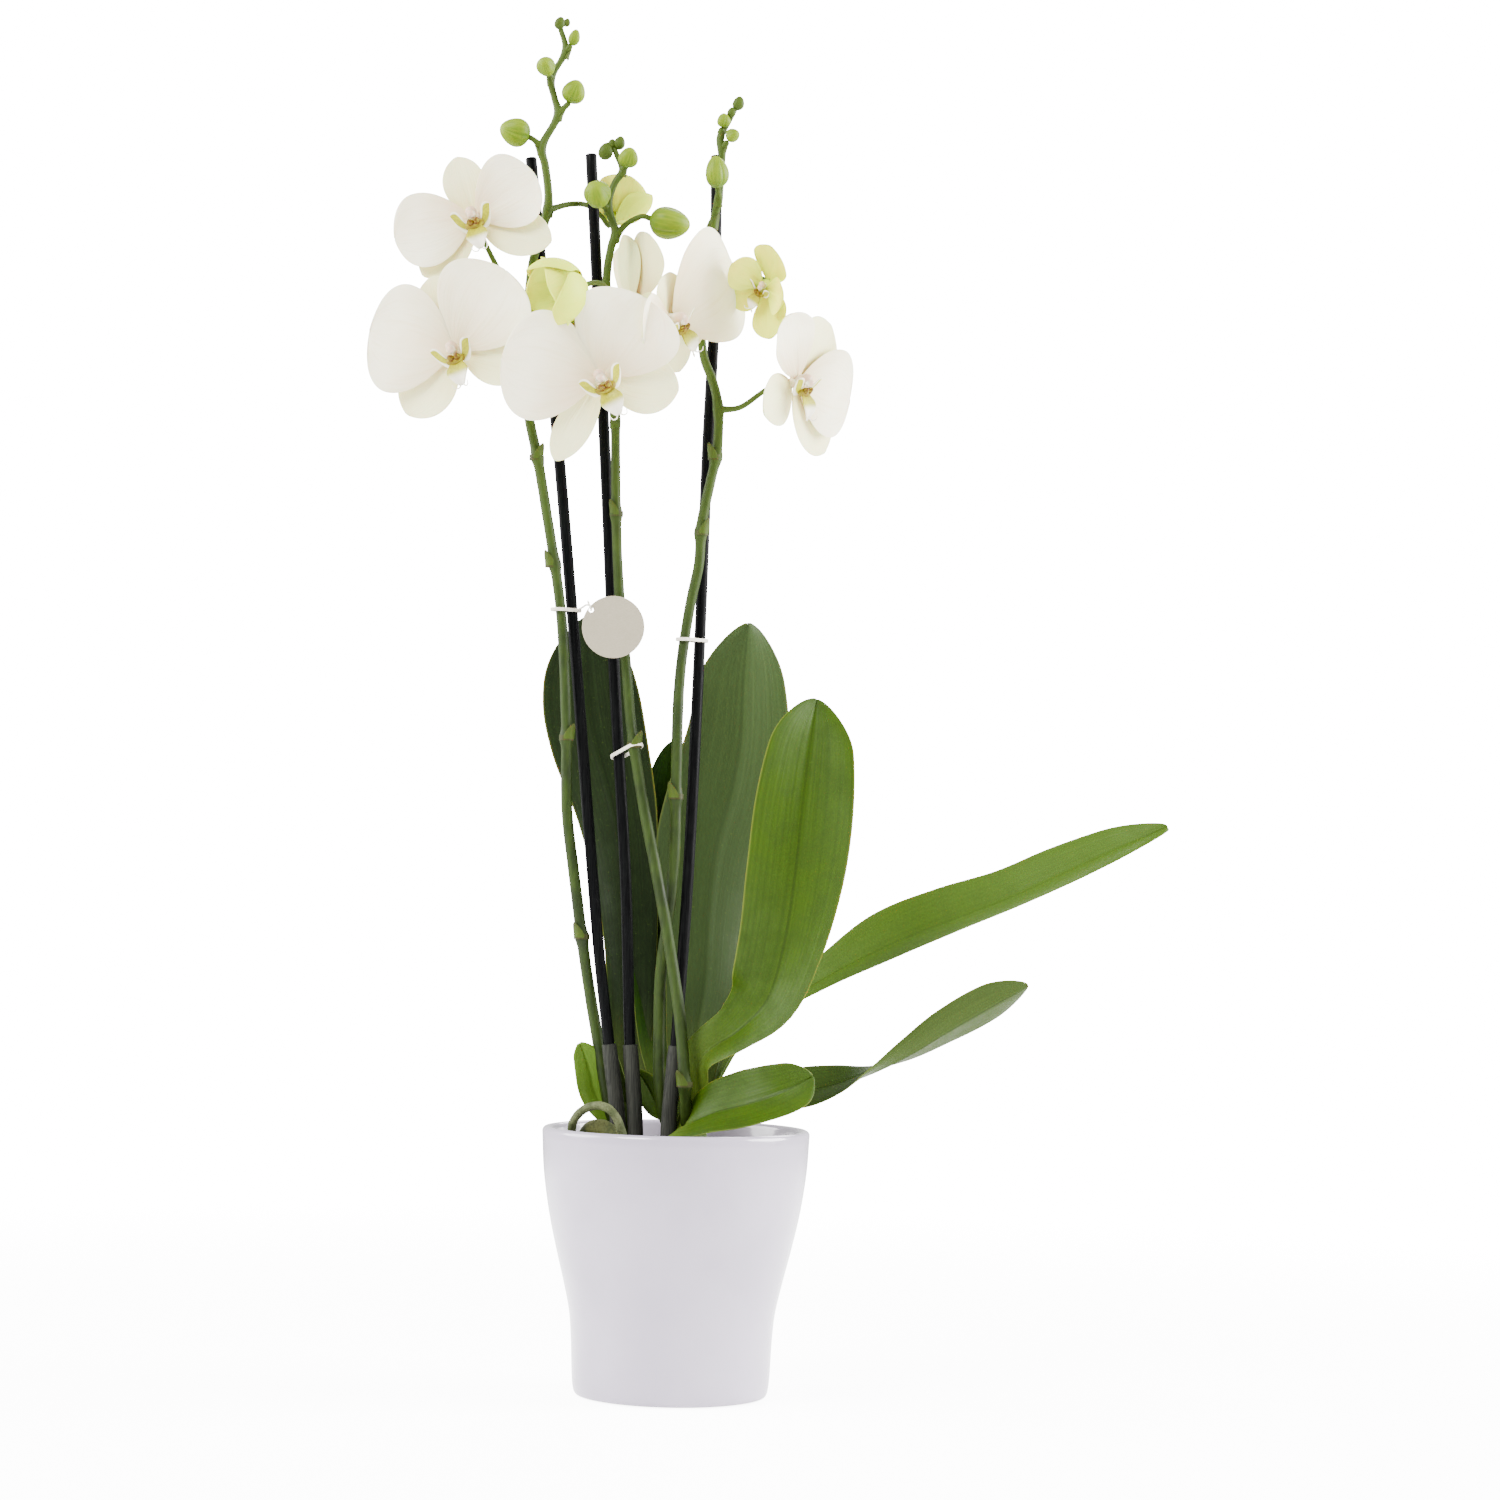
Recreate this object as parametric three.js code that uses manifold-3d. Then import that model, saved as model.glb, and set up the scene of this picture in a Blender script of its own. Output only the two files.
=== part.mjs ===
// A moth orchid in a white glazed cover pot, in millimetres, +Z up.
// The origin is the centre of the pot's flat underside and -Y is the side that is looked at.
// Two plants share the pot. Three flower stems are tied to three stakes.

import * as THREE from 'three';
import { mergeVertices } from 'three/addons/utils/BufferGeometryUtils.js';
import Module from 'manifold-3d';

const wasm = await Module();
wasm.setup();

// ---------------------------------------------------------------- driving dimensions

const FIT = 0.3; // clearance between pieces that touch on the real object

// cover pot: [outer radius, height] from the foot to the shoulder under the lip
const POT_OUTSIDE = [
  [45.5, 0], [48.6, 0.9], [49.9, 3.5], [51.6, 29.8], [52.8, 42.6],
  [55.6, 56], [60.5, 76], [64.4, 93.9], [67.5, 115],
];
const POT_HEIGHT = 137;
const POT_RIM_RADIUS = 68.7;
const POT_WALL = 5;
const POT_FLOOR = 7;
const POT_SIDES = 26;

// clear nursery pot standing on the cover pot's floor
const NURSERY_FOOT_RADIUS = 42;
const NURSERY_TOP_RADIUS = 57.5;
const NURSERY_TOP = 129;
const NURSERY_WALL = 1.2;
const NURSERY_LIP = 2;
const NURSERY_SIDES = 14;

const MEDIUM_TOP = 121;
const CHIP_COUNT = 7;
const CHIP_SEED = 11;

const STAKE_RADIUS = 2.9;
const FOOT_RADIUS = 4;
const FOOT_TOP = 179;
const STAKE_BOTTOM = 165;
const FOOT_BOTTOM = 60;

const TIE_WALL = 0.9;
const TIE_HEIGHT = 1.8;

const TAG_RADIUS = 16;
const TAG_THICKNESS = 0.9;
const TAG_CENTRE = [-38, -13, 393];
const TAG_HOLE = [-49.5, -13, 401.5];
const TAG_HOLE_RADIUS = 1.3;
const STRING_RADIUS = 0.6;

const LEAF_THICKNESS = 1.5;
const PETAL_THICKNESS = 0.9;

// ---------------------------------------------------------------- colours and finishes

const finish = (color, roughness, metalness = 0) => ({ color, roughness, metalness });
const GLAZE = finish(0xeceaf0, 0.15);
const CLEAR_PLASTIC = { ...finish(0xd9dedd, 0.2), transparent: true, opacity: 0.35 };
const BARK = finish(0x5c4029, 0.95);
const STAKE_BLACK = finish(0x1d1d1e, 0.35);
const SLEEVE_GREY = finish(0x3f3e40, 0.4);
const TIE_CREAM = finish(0xcfc8b4, 0.6);
const TAG_PAPER = finish(0xd4d0c5, 0.85);
const CROWN_GREEN = finish(0x5d7535, 0.5);
const LEAF_DARK = finish(0x465534, 0.35);
const LEAF_GREY = finish(0x4f5f3a, 0.4);
const LEAF_BRIGHT = finish(0x63802a, 0.3);
const LEAF_DEEP = finish(0x4c6a22, 0.35);
const LEAF_PALE = finish(0x76884c, 0.35);
const STEM_GREEN = finish(0x4f6a24, 0.45);
const PETAL_WHITE = finish(0xeeece6, 0.55);
const PETAL_GREEN = finish(0xd5d29d, 0.55);
const LIP_YELLOW = finish(0xdfd772, 0.5);
const BUD_GREEN = finish(0xa9b45a, 0.5);
const ROOT_SILVER = finish(0x9a9a7c, 0.8);
const ROOT_GREEN = finish(0x55562c, 0.7);

// ---------------------------------------------------------------- solids

const vector = (point) => new THREE.Vector3(...point);

// closed triangle mesh -> solid, with its shared vertices merged and empty triangles dropped
function solid(geometry) {
  const bare = new THREE.BufferGeometry();
  bare.setAttribute('position', geometry.getAttribute('position'));
  bare.setIndex(geometry.index);
  const merged = mergeVertices(bare, 1e-4);
  const corners = merged.index.array;
  const kept = [];
  for (let i = 0; i < corners.length; i += 3) {
    const [a, b, c] = [corners[i], corners[i + 1], corners[i + 2]];
    if (a !== b && b !== c && c !== a) kept.push(a, b, c);
  }
  return new wasm.Manifold(new wasm.Mesh({
    numProp: 3,
    vertProperties: new Float32Array(merged.getAttribute('position').array),
    triVerts: new Uint32Array(kept),
  }));
}

const fuse = (solids) => wasm.Manifold.union(solids);

function largestPart(body) {
  return body.decompose().sort((a, b) => b.volume() - a.volume())[0];
}

// A recipe makes a solid grown outwards by a margin. The piece that stands in or on its
// neighbours is cut clear of them, and loose scraps of it are dropped.
function seat(recipe, neighbours) {
  if (neighbours.length === 0) return recipe(0);
  return largestPart(recipe(0).subtract(fuse(neighbours.map((other) => other(FIT)))));
}

function show(name, look, body) {
  const { vertProperties, triVerts, numProp } = body.getMesh();
  const count = vertProperties.length / numProp;
  const places = new Float32Array(count * 3);
  for (let i = 0; i < count; i += 1) {
    for (let axis = 0; axis < 3; axis += 1) places[i * 3 + axis] = vertProperties[i * numProp + axis];
  }
  const geometry = new THREE.BufferGeometry();
  geometry.setAttribute('position', new THREE.BufferAttribute(places, 3));
  geometry.setIndex(new THREE.BufferAttribute(new Uint32Array(triVerts), 1));
  geometry.computeVertexNormals();
  const mesh = new THREE.Mesh(geometry, new THREE.MeshStandardMaterial(look));
  mesh.name = name;
  plant.add(mesh);
  return mesh;
}

const plant = new THREE.Group();

// ---------------------------------------------------------------- shape builders

// turned shape: profile points are [radius, height]
function turned(profile, sides) {
  return solid(new THREE.LatheGeometry(profile.map(([r, z]) => new THREE.Vector2(r, z)), sides)
    .rotateX(Math.PI / 2));
}

// value along a list of evenly spaced key values
function along(keys, t) {
  const place = THREE.MathUtils.clamp(t, 0, 1) * (keys.length - 1);
  const low = Math.floor(place);
  const high = Math.min(low + 1, keys.length - 1);
  return THREE.MathUtils.lerp(keys[low], keys[high], place - low);
}

// section planes at even steps of a curve's own parameter, each turned as little as can be
// from the one before
function sections(curve, steps) {
  const side = new THREE.Vector3(1, 0, 0);
  return Array.from({ length: steps + 1 }, (_, i) => {
    const forward = curve.getTangent(i / steps);
    side.addScaledVector(forward, -side.dot(forward)).normalize();
    const centre = curve.getPoint(i / steps);
    return { centre, forward, side: side.clone(), over: new THREE.Vector3().crossVectors(side, forward) };
  });
}

// round rod through every point of a route, with a number of steps for each span and its
// radius read from key values: a cylinder bent to the route
function rod(route, radii, sides, stepsEach, margin = 0) {
  const curve = new THREE.CatmullRomCurve3(route.map(vector), false, 'centripetal');
  const steps = (route.length - 1) * stepsEach;
  const planes = sections(curve, steps);
  const geometry = new THREE.CylinderGeometry(1, 1, 1, sides, steps);
  const places = geometry.getAttribute('position');
  for (let i = 0; i < places.count; i += 1) {
    const t = places.getY(i) + 0.5;
    const step = Math.round(t * steps);
    const { centre, forward, side, over } = planes[step];
    const radius = along(radii, t) + margin;
    const point = centre.clone();
    point.addScaledVector(side, places.getX(i) * radius);
    point.addScaledVector(over, places.getZ(i) * radius);
    if (step === 0) point.addScaledVector(forward, -margin);
    if (step === steps) point.addScaledVector(forward, margin);
    places.setXYZ(i, point.x, point.y, point.z);
  }
  return outward(geometry);
}

// the solid of a closed mesh, turned over first if its faces point inwards
function outward(geometry) {
  const body = solid(geometry);
  return body.volume() > 0 ? body : solid(flipped(geometry));
}

function flipped(geometry) {
  const turnedOver = geometry.clone();
  const corners = turnedOver.index.array;
  for (let i = 0; i < corners.length; i += 3) [corners[i], corners[i + 1]] = [corners[i + 1], corners[i]];
  return turnedOver;
}

// thin sheet with thickness: place(s, v) is its middle surface, s from base to tip and v
// from -1 to 1 across. Both faces are split into triangles alike, and the tip is one point.
function blade(rows, columns, place, thickness, margin = 0) {
  const points = [];
  const corners = [];
  const half = thickness / 2 + margin;
  const nudge = 0.02;
  for (let face = 0; face < 2; face += 1) {
    for (let row = 0; row <= rows; row += 1) {
      for (let column = 0; column <= columns; column += 1) {
        const s = row / rows;
        const v = row === rows ? 0 : (2 * column) / columns - 1;
        const inS = Math.min(Math.max(s, nudge), 1 - 2 * nudge);
        const inV = Math.min(Math.max(v, nudge - 1), 1 - nudge);
        const lengthwise = place(inS + nudge, inV).sub(place(inS - nudge, inV)).normalize();
        const across = place(inS, inV + nudge).sub(place(inS, inV - nudge)).normalize();
        const normal = new THREE.Vector3().crossVectors(across, lengthwise).normalize();
        const point = place(s, v).addScaledVector(normal, face === 0 ? half : -half);
        if (column === 0 && row < rows) point.addScaledVector(across, -margin);
        if (column === columns && row < rows) point.addScaledVector(across, margin);
        if (row === 0) point.addScaledVector(lengthwise, -margin);
        if (row === rows) point.addScaledVector(lengthwise, margin);
        points.push(point.x, point.y, point.z);
      }
    }
  }
  const width = columns + 1;
  const backStart = (rows + 1) * width;
  const at = (row, column) => row * width + (row === rows ? 0 : column);
  const quad = (a, b, c, d) => corners.push(a, b, c, a, c, d);
  for (let row = 0; row < rows; row += 1) {
    for (let column = 0; column < columns; column += 1) {
      const near = [at(row, column), at(row, column + 1)];
      const far = [at(row + 1, column + 1), at(row + 1, column)];
      const [a, b, c, d] = [...near, ...far];
      quad(a, b, c, d);
      corners.push(...[a, c, b, a, d, c].map((corner) => backStart + corner));
    }
    quad(at(row + 1, 0), backStart + at(row + 1, 0), backStart + at(row, 0), at(row, 0));
    const [low, high] = [at(row, columns), at(row + 1, columns)];
    quad(low, backStart + low, backStart + high, high);
  }
  for (let column = 0; column < columns; column += 1) {
    quad(at(0, column), backStart + at(0, column), backStart + at(0, column + 1), at(0, column + 1));
  }
  const geometry = new THREE.BufferGeometry();
  geometry.setAttribute('position', new THREE.Float32BufferAttribute(points, 3));
  geometry.setIndex(corners);
  return outward(geometry);
}

// ---------------------------------------------------------------- pot, nursery pot, medium

function coverPot() {
  const lipRadius = POT_WALL / 2;
  const lipCentre = POT_RIM_RADIUS - lipRadius;
  const lip = [0, 1 / 3, 2 / 3, 1].map((part) => [
    lipCentre + lipRadius * Math.cos(part * Math.PI),
    POT_HEIGHT - lipRadius + lipRadius * Math.sin(part * Math.PI),
  ]);
  const everyOther = POT_OUTSIDE.filter((_, i) => i > 2 && i % 2 === 1);
  const inside = everyOther.reverse().map(([r, z]) => [r - POT_WALL, z]);
  return turned([[0, 0], ...POT_OUTSIDE, ...lip, ...inside, [43, POT_FLOOR + 2.5], [39, POT_FLOOR],
    [0, POT_FLOOR]], POT_SIDES);
}

function nurseryPot() {
  const foot = POT_FLOOR + FIT;
  return turned([
    [0, foot], [NURSERY_FOOT_RADIUS - 3, foot], [NURSERY_FOOT_RADIUS, foot + 4],
    [NURSERY_TOP_RADIUS, NURSERY_TOP - 3], [NURSERY_TOP_RADIUS + NURSERY_LIP, NURSERY_TOP - 3],
    [NURSERY_TOP_RADIUS + NURSERY_LIP, NURSERY_TOP], [NURSERY_TOP_RADIUS - NURSERY_WALL, NURSERY_TOP],
    [NURSERY_FOOT_RADIUS - NURSERY_WALL, foot + 4], [NURSERY_FOOT_RADIUS - 4, foot + NURSERY_WALL],
    [0, foot + NURSERY_WALL],
  ], NURSERY_SIDES);
}

// radius of the nursery pot's inside at a height
function nurseryInside(z) {
  const foot = POT_FLOOR + FIT + 4;
  const t = (z - foot) / (NURSERY_TOP - foot);
  return THREE.MathUtils.lerp(NURSERY_FOOT_RADIUS, NURSERY_TOP_RADIUS, t) - NURSERY_WALL - FIT;
}

// small repeatable source of even random numbers
function randomFrom(seed) {
  let state = seed;
  return () => {
    state = (state * 16807) % 2147483647;
    return state / 2147483647;
  };
}

function barkChip(random) {
  const reach = nurseryInside(MEDIUM_TOP) - 11;
  const distance = reach * Math.sqrt(random());
  const bearing = random() * 2 * Math.PI;
  const chip = new THREE.BoxGeometry(9 + 9 * random(), 7 + 5 * random(), 4 + 3 * random());
  chip.rotateX((random() - 0.5) * 0.8);
  chip.rotateY((random() - 0.5) * 0.8);
  chip.rotateZ(random() * Math.PI);
  chip.translate(distance * Math.cos(bearing), distance * Math.sin(bearing), MEDIUM_TOP + 1.2 * random());
  return solid(chip);
}

function medium() {
  const random = randomFrom(CHIP_SEED);
  const foot = POT_FLOOR + NURSERY_WALL + 2 * FIT;
  const fill = turned([
    [0, foot], [NURSERY_FOOT_RADIUS - 5, foot], [nurseryInside(foot + 4) - 0.3, foot + 4],
    [nurseryInside(MEDIUM_TOP), MEDIUM_TOP], [0, MEDIUM_TOP],
  ], NURSERY_SIDES);
  return fuse([fill, ...Array.from({ length: CHIP_COUNT }, () => barkChip(random))]);
}

// ---------------------------------------------------------------- stakes and their feet

// routes from the foot up
const STAKE_ROUTES = {
  left: [[-30, 1, 60], [-30, 2, 136], [-36, 2, 182], [-42, 2, 227], [-57, 2, 373], [-68, 2, 476],
    [-87, 2, 637]],
  middle: [[-20, 2, 60], [-21, 2, 136], [-25, 2, 182], [-29, 3, 263], [-37, 4, 363], [-44, 4, 469],
    [-56, 4, 640]],
  right: [[-4, -4, 60], [-4, -4, 136], [-1, -3, 182], [3, 0, 263], [6, 4, 375], [8, 6, 491], [10, 13, 565],
    [9, 11, 642]],
};

// the part of a straight run between two heights
function cutRoute(route, low, high) {
  const heightAt = (z) => {
    const next = Math.max(1, route.findIndex((point) => point[2] >= z));
    const [from, to] = [route[next - 1], route[next]];
    const t = (z - from[2]) / (to[2] - from[2]);
    return from.map((value, axis) => THREE.MathUtils.lerp(value, to[axis], t));
  };
  const between = route.filter((point) => point[2] > low + 5 && point[2] < high - 5);
  return [heightAt(low), ...between, heightAt(high)];
}

const stake = (side) => (margin) => {
  const route = STAKE_ROUTES[side];
  const top = route[route.length - 1][2];
  return rod(cutRoute(route, STAKE_BOTTOM, top), [STAKE_RADIUS], 8, 1, margin);
};

const stakeFoot = (side) => (margin) => rod(cutRoute(STAKE_ROUTES[side], FOOT_BOTTOM, FOOT_TOP),
  [FOOT_RADIUS - 1.6, FOOT_RADIUS, FOOT_RADIUS], 8, 1, margin);

// ---------------------------------------------------------------- crowns, leaves, roots

const CROWNS = {
  left: { centre: [-28, 17], radius: 8.5 },
  right: { centre: [7, 9], radius: 9 },
};

const crown = (side) => (margin) => {
  const { centre, radius } = CROWNS[side];
  const shape = new THREE.SphereGeometry(1, 8, 6).rotateX(Math.PI / 2);
  shape.scale(radius + margin, radius + margin, 24 + margin);
  shape.translate(centre[0], centre[1], 134);
  return solid(shape);
};

// Each leaf: route of [x, y, z, half width, and the direction its upper face looks in].
// fold is how far the two halves rise like a V, wave the ripple of the margin.
const LEAVES = {
  leaf_1: {
    look: LEAF_DARK, fold: 0.28, wave: 1.5,
    route: [
      [-28, 21, 140, 9, 0, -1, 0], [-26, 27, 180, 12, 0, -1, 0.1], [-26, 32, 212, 13, 0.1, -1, 0.1],
      [-29, 37, 252, 16, 0.15, -1, 0.1], [-37, 41, 300, 21.5, 0.2, -1, 0],
      [-47, 42, 337, 25.5, 0.15, -1, -0.1], [-51, 40, 359, 25.5, 0.1, -1, -0.2],
      [-53, 36, 382, 21, 0.1, -1, -0.3], [-53, 31, 401, 14, 0.1, -1, -0.4],
    ],
  },
  leaf_2: {
    look: LEAF_GREY, fold: 0.2, wave: 3,
    route: [
      [8, 14, 140, 7, 0, 1, 0.4], [8, 19, 176, 14, 0, 1, 0.2], [12, 25, 211, 20, -0.1, 1, 0.1],
      [13, 31, 246, 24, -0.2, 1, 0], [16, 35, 280, 30, -0.2, 1, 0.1], [24, 37, 312, 31, -0.2, 1, 0.15],
      [28, 36, 339, 27.5, -0.2, 1, 0.2], [29, 32, 370, 23, -0.2, 1, 0.3], [31, 26, 399, 15, -0.2, 1, 0.4],
    ],
  },
  leaf_3: {
    look: LEAF_BRIGHT, fold: 0.35, wave: 1.5,
    route: [
      [8, 3, 148, 8, -0.3, -1, 0.5], [12, -5, 173, 11.5, -0.4, -1, 0.6],
      [31, -15, 188, 15.5, -0.5, -1, 0.7], [45, -22, 204, 19.5, -0.4, -1, 0.4],
      [53, -27, 232, 22, -0.2, -1, 0.2], [58, -30, 270, 25, 0, -1, 0], [61, -28, 306, 25, 0.1, -1, -0.1],
      [64, -24, 335, 21.5, 0.1, -1, -0.3], [67, -18, 358, 15, 0.1, -1, -0.5],
    ],
  },
  leaf_4: {
    look: LEAF_DEEP, fold: 0.25, wave: 1,
    route: [
      [0, 15, 146, 9, 0, -1, 0.3], [-8, 26, 180, 13, 0, -1, 0.3], [-11, 38, 222, 15, 0, -1, 0.2],
      [-10, 46, 264, 18, 0, -1, 0.1], [-8, 49, 306, 14, 0, -1, 0], [-7, 47, 337, 9, 0, -1, -0.1],
    ],
  },
  leaf_5: {
    look: LEAF_BRIGHT, fold: 0.35, wave: 1.5,
    route: [
      [15, 14, 150, 6, -0.4, -0.3, 1], [37, 26, 187, 8, -0.5, -0.4, 1],
      [73, 32, 213, 10.5, -0.4, -0.75, 1], [108, 36, 232, 19.5, -0.3, -0.75, 1],
      [141, 40, 246, 21, -0.3, -0.75, 1], [171, 42, 258, 19.5, -0.3, -0.75, 1],
      [200, 42, 272, 18.5, -0.3, -0.75, 1], [230, 42, 286.5, 14, -0.3, -0.7, 1],
      [254, 40, 297.5, 8, -0.3, -0.7, 1],
    ],
  },
  leaf_6: {
    look: LEAF_PALE, fold: 0.3, wave: 1,
    route: [
      [15, 8, 142, 6, -0.2, -0.3, 1], [38, 13, 149, 10, -0.1, -0.6, 1],
      [64, 18, 155.5, 13, 0, -0.8, 0.8], [84, 21, 160.5, 11.5, 0, -0.55, 1],
      [101, 22, 167, 8.5, -0.1, 0.05, 1], [119, 23, 176, 10, -0.3, 0.6, 0.9],
      [139, 24, 188.5, 13, -0.4, 0.8, 0.8], [160, 25, 201, 13.5, -0.4, 0.9, 0.7],
      [181, 25, 213.5, 10, -0.4, 0.9, 0.7],
    ],
  },
  leaf_7: {
    look: LEAF_BRIGHT, fold: 0.3, wave: 0.6,
    route: [
      [-1, 0, 136, 8, -0.3, -1, 0.9], [8, -11, 140.5, 12.5, -0.3, -1, 0.9],
      [20, -20, 146.5, 16.5, -0.3, -1, 0.9], [35, -27, 151, 18, -0.3, -1, 0.8],
      [50, -29.5, 156.5, 16, -0.2, -1, 0.6], [60, -30, 161.5, 12.5, 0, -1, 0.3],
      [69, -29, 166.5, 9, 0.2, -1, 0.1],
    ],
  },
  leaf_8: {
    look: LEAF_BRIGHT, fold: 0.3, wave: 0.6,
    route: [
      [-33, 12, 138, 5, 0.3, -1, 0.2], [-42, 11, 152, 9, 0.3, -1, 0.2], [-46, 9, 166, 8.5, 0.3, -1, 0.2],
      [-51, 6, 179, 5, 0.3, -1, 0.2],
    ],
  },
  leaf_9: {
    look: LEAF_BRIGHT, fold: 0.3, wave: 0,
    route: [
      [-27, 12, 142, 3, 0, -1, 0], [-30, 11, 156, 4, 0, -1, 0], [-33, 11, 168, 3.5, 0, -1, 0],
      [-35, 10, 179, 1.2, 0, -1, 0],
    ],
  },
  leaf_10: {
    look: LEAF_BRIGHT, fold: 0.3, wave: 0,
    route: [
      [-1, 10, 142, 4, 0, -1, 0.2], [-10, 11, 148, 7, 0, -1, 0.2], [-16, 13, 158, 6, 0, -1, 0.2],
      [-22, 14, 166, 1.5, 0, -1, 0.2],
    ],
  },
};

const leaf = (name) => (margin) => {
  const { route, fold, wave } = LEAVES[name];
  const centres = route.map((point) => vector(point.slice(0, 3)));
  const curve = new THREE.CatmullRomCurve3(centres, false, 'centripetal');
  const large = route.length > 4;
  const place = (s, v) => {
    const t = 1 - (1 - THREE.MathUtils.clamp(s, 0, 1)) ** 1.6;
    const key = curve.getUtoTmapping(t);
    const value = (index) => along(route.map((point) => point[index]), key);
    const tangent = curve.getTangent(key);
    const upper = new THREE.Vector3(value(4), value(5), value(6));
    upper.addScaledVector(tangent, -upper.dot(tangent)).normalize();
    const across = new THREE.Vector3().crossVectors(tangent, upper);
    const tipRound = Math.sqrt(1 - Math.max(0, (t - 0.88) / 0.12) ** 2);
    const half = value(3) * tipRound;
    const rise = fold * half * Math.abs(v) ** 1.3 + wave * v * v * Math.sin(9 * t + 2 * v);
    return curve.getPoint(key).addScaledVector(across, half * v).addScaledVector(upper, rise);
  };
  return blade(large ? 8 : 5, large ? 4 : 2, place, LEAF_THICKNESS, margin);
};

const AERIAL_ROOTS = {
  root_arch: {
    look: ROOT_SILVER, radius: 2.2,
    route: [[-48, -19, 112], [-52, -21, 128], [-52, -26, 140], [-44, -33, 148.5], [-34, -38, 148.5],
      [-27, -40, 138], [-24, -39, 112]],
  },
  root_mass: {
    look: ROOT_GREEN, radius: 4.6,
    route: [[-46, -14, 112], [-47, -17, 128], [-42, -22, 136.5], [-34, -26, 136], [-28, -27, 126],
      [-27, -27, 112]],
  },
};

const aerialRoot = (name) => (margin) => {
  const { route, radius } = AERIAL_ROOTS[name];
  return rod(route, [radius], 7, 2, margin);
};

// ---------------------------------------------------------------- flower stems

// Each stem: main route, its radii from foot to tip, nodes (heights with a thickened ring and
// a bract), and the side stalks that carry its flowers and buds.
const STEMS = {
  stem_left: {
    radii: [3, 3, 2.9, 2.7, 2.6, 2.4, 2.1, 1.8, 1.4],
    route: [
      [-30, 15, 128], [-34, 11, 142], [-38, 10, 160], [-42, 9, 182], [-47, 6, 209], [-51, 2, 234],
      [-55, 0, 262], [-60, -2, 299], [-61, -3, 335], [-63, -4, 373], [-66, -4, 405], [-75, -5, 457],
      [-79, -5, 478], [-85, -5, 505], [-87, -5, 530], [-86, -5, 561], [-84, -6, 582], [-77, -7, 610],
      [-79, -7, 631], [-81, -7, 640], [-73, -7, 658], [-75, -7, 666], [-77, -7, 676], [-70, -7, 691],
      [-73, -7, 703],
    ],
    nodes: [[-51, 2, 234], [-61, -3, 336], [-70.5, -4, 425], [-80, -5, 480]],
    stalks: {
      flower_a: [[-86, -5, 552], [-98, -7, 570], [-108, -13, 588], [-112, -20, 597]],
      flower_b: [[-87, -5, 520], [-98, -8, 534], [-110, -16, 536], [-116, -27, 531]],
      flower_h: [[-77, -7, 608], [-66, 3, 613], [-57, 13, 614], [-50, 18, 609], [-46.5, 20, 605]],
      bud_left_1: [[-81, -7, 640], [-85, -8, 644], [-89, -8, 646]],
      bud_left_2: [[-73, -7, 658], [-67, -8, 664]],
      bud_left_3: [[-77, -7, 676], [-79, -11, 679]],
      bud_left_4: [[-70, -7, 690], [-67, -8, 694]],
    },
    tips: [[-73.2, -8, 705, 2.7], [-69.6, -7, 705.5, 1.8]],
  },
  stem_middle: {
    radii: [3, 3, 2.9, 2.7, 2.5, 2.3, 2, 1.7, 1.3],
    route: [
      [6, 2, 130], [5, -6, 143], [4, -12, 160], [1, -12, 192], [-5, -11, 228], [-12, -10, 263],
      [-20, -8, 300], [-25, -6, 326], [-28, -5, 344], [-31, -4, 372], [-36, -4, 416], [-38, -4, 448],
      [-39, -4, 475], [-40, -4, 506], [-42, -4, 537], [-46, -5, 572], [-44, -5, 590], [-42, -5, 597],
      [-46, -5, 611], [-43, -5, 623], [-39, -5, 630], [-42, -5, 637], [-44, -5, 642],
    ],
    nodes: [[4, -12, 160], [-26, -6, 333], [-38, -4, 452]],
    stalks: {
      flower_c: [[-44.5, -5, 565], [-47, -18, 568], [-51, -33, 567], [-55, -42, 564.5]],
      flower_d: [[-40, -4, 500], [-43, -12, 510], [-46, -28, 516], [-46, -44, 517]],
      flower_i: [[-43, -4, 540], [-40, 1, 546], [-37, 5, 554], [-34, 7.5, 560]],
      bud_middle_1: [[-42, -5, 596], [-35, -5, 603], [-28, -6, 606], [-23, -6, 604.5]],
      bud_middle_2: [[-46, -5, 610], [-51, -10, 611.5]],
      bud_middle_3: [[-39, -5, 630], [-37, -8, 632]],
    },
    tips: [[-48, -5.5, 639.5, 3.7], [-45, -5.5, 643.5, 2], [-41, -5, 644, 2.9]],
  },
  stem_right: {
    radii: [3, 3, 2.9, 2.7, 2.6, 2.4, 2.1, 1.8, 1.2],
    route: [
      [1, 8, 128], [-6, 5, 141], [-9, 3, 156], [-10, 2, 183], [-10, 1, 213], [-5.5, -2, 255],
      [-4, -4, 282], [-4, -5, 309], [-4, -5, 354], [-3, -4, 374], [1, -4, 406], [5, -5, 427],
      [6, -6, 448], [10, -7, 469], [13, -6, 485], [13, -4, 509], [10, -1, 522], [5, 2, 535],
      [3, 3, 558], [5, 4, 592], [8, 1, 604], [11, -3, 618], [12, -5, 640], [11, -5, 648], [15, -5, 656],
      [19, -5, 664],
    ],
    nodes: [[-4, -5, 307], [6, -6, 443], [12, -6.5, 482], [8, 1, 602]],
    stalks: {
      flower_g: [[13, -4, 507], [24, -7, 508], [37, -8, 517], [45, -10, 521]],
      flower_e: [[3.5, 1, 556], [-4, -4, 560], [-13, -16, 558], [-18, -26, 552.5]],
      flower_f: [[4, 3, 580], [14, 6, 581], [28, 6, 579], [38, -1, 574]],
      bud_right_1: [[11, -3, 616], [10.2, -11.5, 621.8]],
      bud_right_2: [[12, -5, 642], [15, -7, 646]],
      bud_right_3: [[11, -5, 649], [12, -6.5, 653]],
    },
    tips: [[20, -5, 666, 3], [16.5, -6, 661, 2.2]],
  },
};

const STALK_RADII = [1.6, 1.3, 1.5];

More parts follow.
